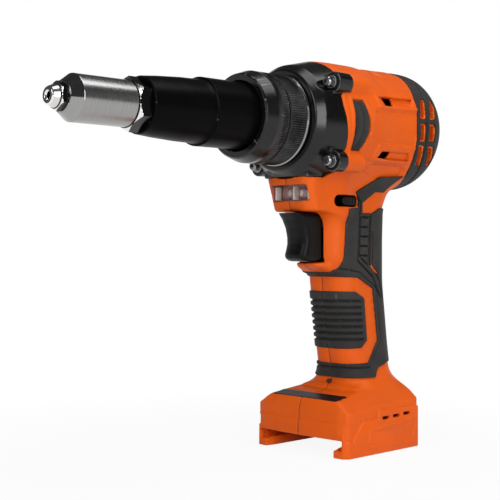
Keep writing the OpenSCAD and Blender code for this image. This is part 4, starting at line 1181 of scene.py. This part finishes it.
rubber = Finish("grip_rubber", IOR=1.45, Specular_IOR_Level=0.32)
grain = rubber.noise(3200, 2, 0.6)
cloud = rubber.noise(40, 3, 0.6)
worn = rubber.worn(0.53, 0.62, 120)
soft_black = rubber.mix(cloud.step(0.3, 0.75), (0.020, 0.0195, 0.019, 1), (0.030, 0.029, 0.028, 1))
# Painted shade: inner corners and grooves are darkened nearly to black.
shaded = rubber.mix(0.8 * rubber.painted_crease_shade(), soft_black, (0.004, 0.004, 0.004, 1))
rubber.set({"Base Color": rubber.mix(0.7 * worn, shaded, (0.10, 0.095, 0.09, 1)),
            "Roughness": 0.56 + 0.2 * grain})
rubber.bump(grain, 0.00008, 0.5)

black_plastic = Finish("black_moulding", IOR=1.5, Specular_IOR_Level=0.14)
grain = black_plastic.noise(2400, 2, 0.6)
worn = black_plastic.worn(0.53, 0.62, 150)
rubbed = 0.3 * worn + 0.1 * black_plastic.noise(60)
black_plastic.set({"Base Color": black_plastic.mix(rubbed, (0.002, 0.002, 0.002, 1),
                                                   (0.025, 0.024, 0.023, 1)),
                   "Roughness": 0.30 + 0.18 * grain})
black_plastic.bump(grain, 0.00004, 0.4)

# %% Coated casting and black steel
cast_black = Finish("coated_casting", IOR=1.5, Specular_IOR_Level=0.38)
grain = cast_black.noise(2200, 4, 0.7)
fleck = cast_black.noise(3800, 1, 0.5).step(0.64, 0.74)
# Edge wear shows lighter bare metal on outer edges; it is also a painted highlight along the casting's edges.
worn = cast_black.worn(0.525, 0.585, 200)
coat = cast_black.mix(fleck, (0.003, 0.003, 0.0032, 1), (0.04, 0.04, 0.042, 1))
cast_black.set({"Base Color": cast_black.mix(0.6 * worn, coat, (0.30, 0.30, 0.30, 1)),
                "Roughness": 0.14 + 0.16 * grain, "Metallic": 0.3 * fleck + 0.5 * worn})
cast_black.bump(grain, 0.00005, 0.5)

black_steel = Finish("black_oxide", IOR=1.5, Specular_IOR_Level=0.04)
along = black_steel.node("ShaderNodeMapping", None, {"Vector": black_steel.place, "Scale": (1.0, 0.02, 0.02)})
lines = black_steel.noise(5200, 2, 0.6, along)
worn = black_steel.node("ShaderNodeNewGeometry", out="Pointiness").step(0.55, 0.66)
oxide = black_steel.mix(lines, (0.001, 0.001, 0.0011, 1), (0.0026, 0.0026, 0.0027, 1))
black_steel.set({"Base Color": black_steel.mix(0.12 * worn, oxide, (0.26, 0.26, 0.26, 1)),
                 "Roughness": 0.26 + 0.16 * lines, "Metallic": 0.2 * worn})
black_steel.bump(lines, 0.00004, 0.35)


# %% Bright metals
def metal(name, dark, light, rough, spread, line_scale=4200, stretch=0.02):
    """A turned or ground metal with fine lines round the barrel's axis."""
    made = Finish(name, Metallic=1.0)
    along = made.node("ShaderNodeMapping", None, {"Vector": made.place, "Scale": (1.0, stretch, stretch)})
    lines = made.noise(line_scale, 3, 0.6, along)
    cloud = made.noise(70, 3, 0.6)
    worn = made.worn(0.52, 0.60, 180)
    made.set({"Base Color": made.mix(lines + 0.5 * worn, dark, light),
              "Roughness": rough + spread * lines + 0.06 * cloud})
    made.bump(lines, 0.00003, 0.4)
    return made


bright_steel = metal("ground_steel", (0.25, 0.248, 0.245, 1), (0.42, 0.415, 0.41, 1), 0.17, 0.12)
dark_chrome = metal("dark_chrome", (0.16, 0.16, 0.165, 1), (0.40, 0.40, 0.41, 1), 0.08, 0.10)
dark_steel = metal("oiled_steel", (0.16, 0.155, 0.15, 1), (0.28, 0.27, 0.26, 1), 0.28, 0.14)
bronze = metal("sintered_bronze", (0.40, 0.24, 0.10, 1), (0.56, 0.36, 0.17, 1), 0.32, 0.16, 1800, 1.0)
copper = metal("wound_copper", (0.46, 0.16, 0.06, 1), (0.66, 0.28, 0.12, 1), 0.26, 0.14, 2600, 0.05)
brass = metal("contact_brass", (0.60, 0.42, 0.16, 1), (0.78, 0.58, 0.26, 1), 0.22, 0.12)

# %% Polished chamfers on the locknut, the nosepiece and the nose sleeve
nut_steel = metal("nut_steel", (0.03, 0.03, 0.03, 1), (0.07, 0.07, 0.07, 1), 0.12, 0.08)
facing = nut_steel.ahead(0.20, 0.45) * (1 - nut_steel.ahead(0.88, 0.96))
nut_steel.set({"Base Color": nut_steel.mix(facing, nut_steel.wired("Base Color"), (0.85, 0.84, 0.83, 1))})
polished = 1 - 0.6 * bright_steel.ahead(0.25, 0.5)
bright_steel.set({"Roughness": polished * bright_steel.wired("Roughness")})

# %% Lens, lamps, display and boards
clear = Finish("clear_lens", IOR=1.8, Roughness=0.05, Specular_IOR_Level=1.0)
rim = clear.node("ShaderNodeLayerWeight", None, {"Blend": 0.35}, out="Fresnel")
clear.set({"Base Color": clear.mix(clear.noise(120), (0.42, 0.20, 0.17, 1), (0.52, 0.27, 0.23, 1)),
           "Alpha": 0.04 + 0.36 * rim})
lamp_dome = Finish("lamp_resin", IOR=1.5, Roughness=0.15)
lamp_dome.set({"Base Color": lamp_dome.mix(lamp_dome.noise(900),
                                           (0.88, 0.84, 0.80, 1), (0.95, 0.92, 0.88, 1))})
# Painted shade: the tray behind the lens is dark red-brown, the colour of the orange inside when it lies in
# shade.
painted_shade_tray = Finish("lamp_tray_painted_shade", IOR=1.5, Roughness=0.3)
painted_shade_tray.set({"Base Color": painted_shade_tray.mix(painted_shade_tray.noise(300),
                                           (0.22, 0.045, 0.025, 1), (0.32, 0.08, 0.05, 1))})
glass = Finish("display_gloss", IOR=1.5, Specular_IOR_Level=0.06)
smear = glass.noise(90, 4, 0.6)
glass.set({"Base Color": glass.mix(smear, (0.006, 0.006, 0.007, 1), (0.012, 0.012, 0.013, 1)),
           "Roughness": 0.22 + 0.16 * smear})
board_green = Finish("circuit_board", IOR=1.5)
tracks = board_green.noise(700, 2).step(0.45, 0.55)
board_green.set({"Base Color": board_green.mix(tracks, (0.02, 0.10, 0.04, 1), (0.03, 0.14, 0.06, 1)),
                 "Roughness": 0.35 + 0.2 * board_green.noise(500)})
print("finishes:", len(bpy.data.materials))

# %% [markdown]
# ## Putting the pieces on their bodies
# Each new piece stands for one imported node, rides on that node's body, and takes its finish. The inner
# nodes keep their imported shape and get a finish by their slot.

# %% Ride, replace and finish
BY_SLOT = {"housing": orange, "rubber": rubber, "gearbox": cast_black, "black_steel": black_steel,
           "steel": bright_steel,
           "dark_steel": dark_steel, "bronze": bronze, "copper": copper, "black_plastic": black_plastic,
           "panel": glass,
           "lens": clear, "board": board_green, "contact": brass}
DRESSED = [
    (left_housing, "left_housing", "tool_body", "housing", orange),
    (right_housing, "right_housing", "tool_body", "housing", orange),
    (left_grip, "left_grip", "tool_body", "rubber", rubber),
    (right_grip, "right_grip", "tool_body", "rubber", rubber),
    (left_pad, "left_side_pad", "tool_body", "rubber", rubber),
    (right_pad, "right_side_pad", "tool_body", "rubber", rubber),
    (bumper, "rear_bumper", "tool_body", "rubber", rubber),
    (gearbox, "gearbox_housing", "tool_body", "gearbox", cast_black),
    (gearbox_screws, "gearbox_screws", "tool_body", "dark_steel", dark_chrome),
    (gearbox_washers, "gearbox_washers", "tool_body", "dark_steel", dark_chrome),
    (retaining_ring, "retaining_ring", "tool_body", "black_steel", dark_chrome),
    (knurled_collar, "knurled_collar", "tool_body", "black_steel", cast_black),
    (front_housing, "front_housing", "tool_body", "gearbox", cast_black),
    (front_sleeve, "front_sleeve", "tool_body", "black_steel", black_steel),
    (hex_locknut, "hex_locknut", "tool_body", "steel", nut_steel),
    (nose_sleeve, "nose_sleeve", "tool_body", "steel", bright_steel),
    (nosepiece, "nosepiece", "tool_body", "black_steel", nut_steel),
    (trigger, "trigger", "trigger", "black_plastic", black_plastic),
    (selector, "direction_selector", "selector", "black_plastic", black_plastic),
    (lens, "led_lens", "tool_body", "lens", clear),
    (lamps, None, "tool_body", "lens", lamp_dome),
    # The tray's dark finish is painted shade.
    (tray, None, "tool_body", "lens", painted_shade_tray),
    # Painted highlight: the light guide blades take the pale lamp resin so that they show as bright streaks.
    (pale_guides, None, "tool_body", "lens", lamp_dome),
    (display, "display_panel", "tool_body", "panel", glass),
    (trigger_spring, "trigger_spring", "tool_body", "steel", dark_steel),
    (jaw_spring, "jaw_spring", "puller", "steel", dark_steel)]
for piece, node, body, slot, finish in DRESSED:
    piece.data.materials.clear()
    piece.data.materials.append(finish.material)
    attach(piece, body)
    if node:
        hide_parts(node)
TRIGGER_TRAVEL, PUSHER_TRAVEL = 7.0, 2.5
for piece, node, joint, travel in ((trigger_spring, "trigger_spring", "trigger_slide", TRIGGER_TRAVEL),
                                   (jaw_spring, "jaw_spring", "pusher_slide", PUSHER_TRAVEL)):
    low, high = span(node)
    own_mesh(piece)
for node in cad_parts.values():
    for place in node.material_slots:
        base = place.material.name.split(".")[0] if place.material else "steel"
        place.material = BY_SLOT.get(base, dark_steel).material
print("pieces:", len(DRESSED))

# %% [markdown]
# ## Floor, light and background
# A pale floor takes the soft shadow and fades into the white background. For reflections the studio has
# a white backdrop behind the tool and is dim elsewhere, so that dark pieces stay dark and the lamps
# show as bands.

# %% Floor
floor_mesh = bpy.data.meshes.new("floor")
FLOOR_HALF = 6.0
FLOOR_DROP = 0.0005
corners = [(x * FLOOR_HALF, y * FLOOR_HALF, -FLOOR_DROP) for x, y in ((-1, -1), (1, -1), (1, 1), (-1, 1))]
floor_mesh.from_pydata(corners, [], [(0, 1, 2, 3)])
floor = bpy.data.objects.new("floor", floor_mesh)
bpy.context.scene.collection.objects.link(floor)
pale = Finish("pale_floor", Roughness=0.9)
pale.set({"Base Color": (0.82, 0.82, 0.82, 1)})
ray = pale.node("ShaderNodeLightPath", out="Is Camera Ray")
mirrored = pale.node("ShaderNodeLightPath", out="Is Glossy Ray")
through = pale.node("ShaderNodeLightPath", out="Is Transmission Ray")
reach = pale.node("ShaderNodeVectorMath", {"operation": "LENGTH"}, {0: pale.place}, out="Value")
shown = (ray + mirrored + through) * (0.92 + 0.08 * reach.step(0.12, 0.34))
white = pale.node("ShaderNodeEmission", None, {"Color": (1, 1, 1, 1), "Strength": 1.0})
blend = pale.node("ShaderNodeMixShader", None, {0: shown, 1: Wire(pale, pale.shader.outputs[0]), 2: white})
pale.put(pale.tree.nodes["Material Output"].inputs["Surface"], blend)
floor_mesh.materials.append(pale.material)
print("floor", FLOOR_HALF * 2, "m wide")


# %% World
class Surround(Finish):
    """The world's node tree, with the same helpers as a finish."""

    def __init__(self, name):
        self.world = bpy.data.worlds.new(name)
        self.world.use_nodes = True
        self.tree = self.world.node_tree
        self.place = self.node("ShaderNodeTexCoord", out="Generated")


AMBIENT = 0.22
DIM = 0.06
studio = Surround("studio")
bpy.context.scene.world = studio.world
behind = studio.node("ShaderNodeVectorMath", {"operation": "DOT_PRODUCT"},
                     {0: studio.place, 1: (CAMERA_LOOK.x, CAMERA_LOOK.y, 0)}, out="Value")
height = studio.node("ShaderNodeSeparateXYZ", None, {0: studio.place}, out="Z")
height = height.math("ABSOLUTE", height)
backdrop = behind.step(-0.10, 0.12) * (1 - height.step(0.30, 0.46))
ray = studio.node("ShaderNodeLightPath", out="Is Camera Ray")
through = studio.node("ShaderNodeLightPath", out="Is Transmission Ray")
mirrored = studio.node("ShaderNodeLightPath", out="Is Glossy Ray")
plain = ray + through - ray * through
strength = plain + (1 - plain) * (mirrored * (DIM + (1 - DIM) * backdrop) + (1 - mirrored) * AMBIENT)
studio.put(studio.tree.nodes["Background"].inputs["Color"], (1, 1, 1, 1))
studio.put(studio.tree.nodes["Background"].inputs["Strength"], strength)
print("world light", AMBIENT)


# %% Lamps
def lamp(name, place, aim, size, power):
    data = bpy.data.lights.new(name, "AREA")
    data.shape = "RECTANGLE"
    data.size, data.size_y = size
    data.energy = power
    made = bpy.data.objects.new(name, data)
    bpy.context.scene.collection.objects.link(made)
    made.location = place
    made.rotation_euler = (Vector(aim) - Vector(place)).to_track_quat("-Z", "Y").to_euler()
    return made


MIDDLE = (0, 0, 0.14)
lamp("strip_softbox", (0.33, 1.15, 0.36), MIDDLE, (0.48, 0.85), 8)
lamp("front_softbox", (1.02, 0.28, 0.70), MIDDLE, (0.5, 0.7), 5.5)
lamp("top_softbox", (-0.2, 0.25, 1.2), MIDDLE, (0.8, 0.8), 6.5)
bpy.context.scene.view_settings.view_transform = "Standard"
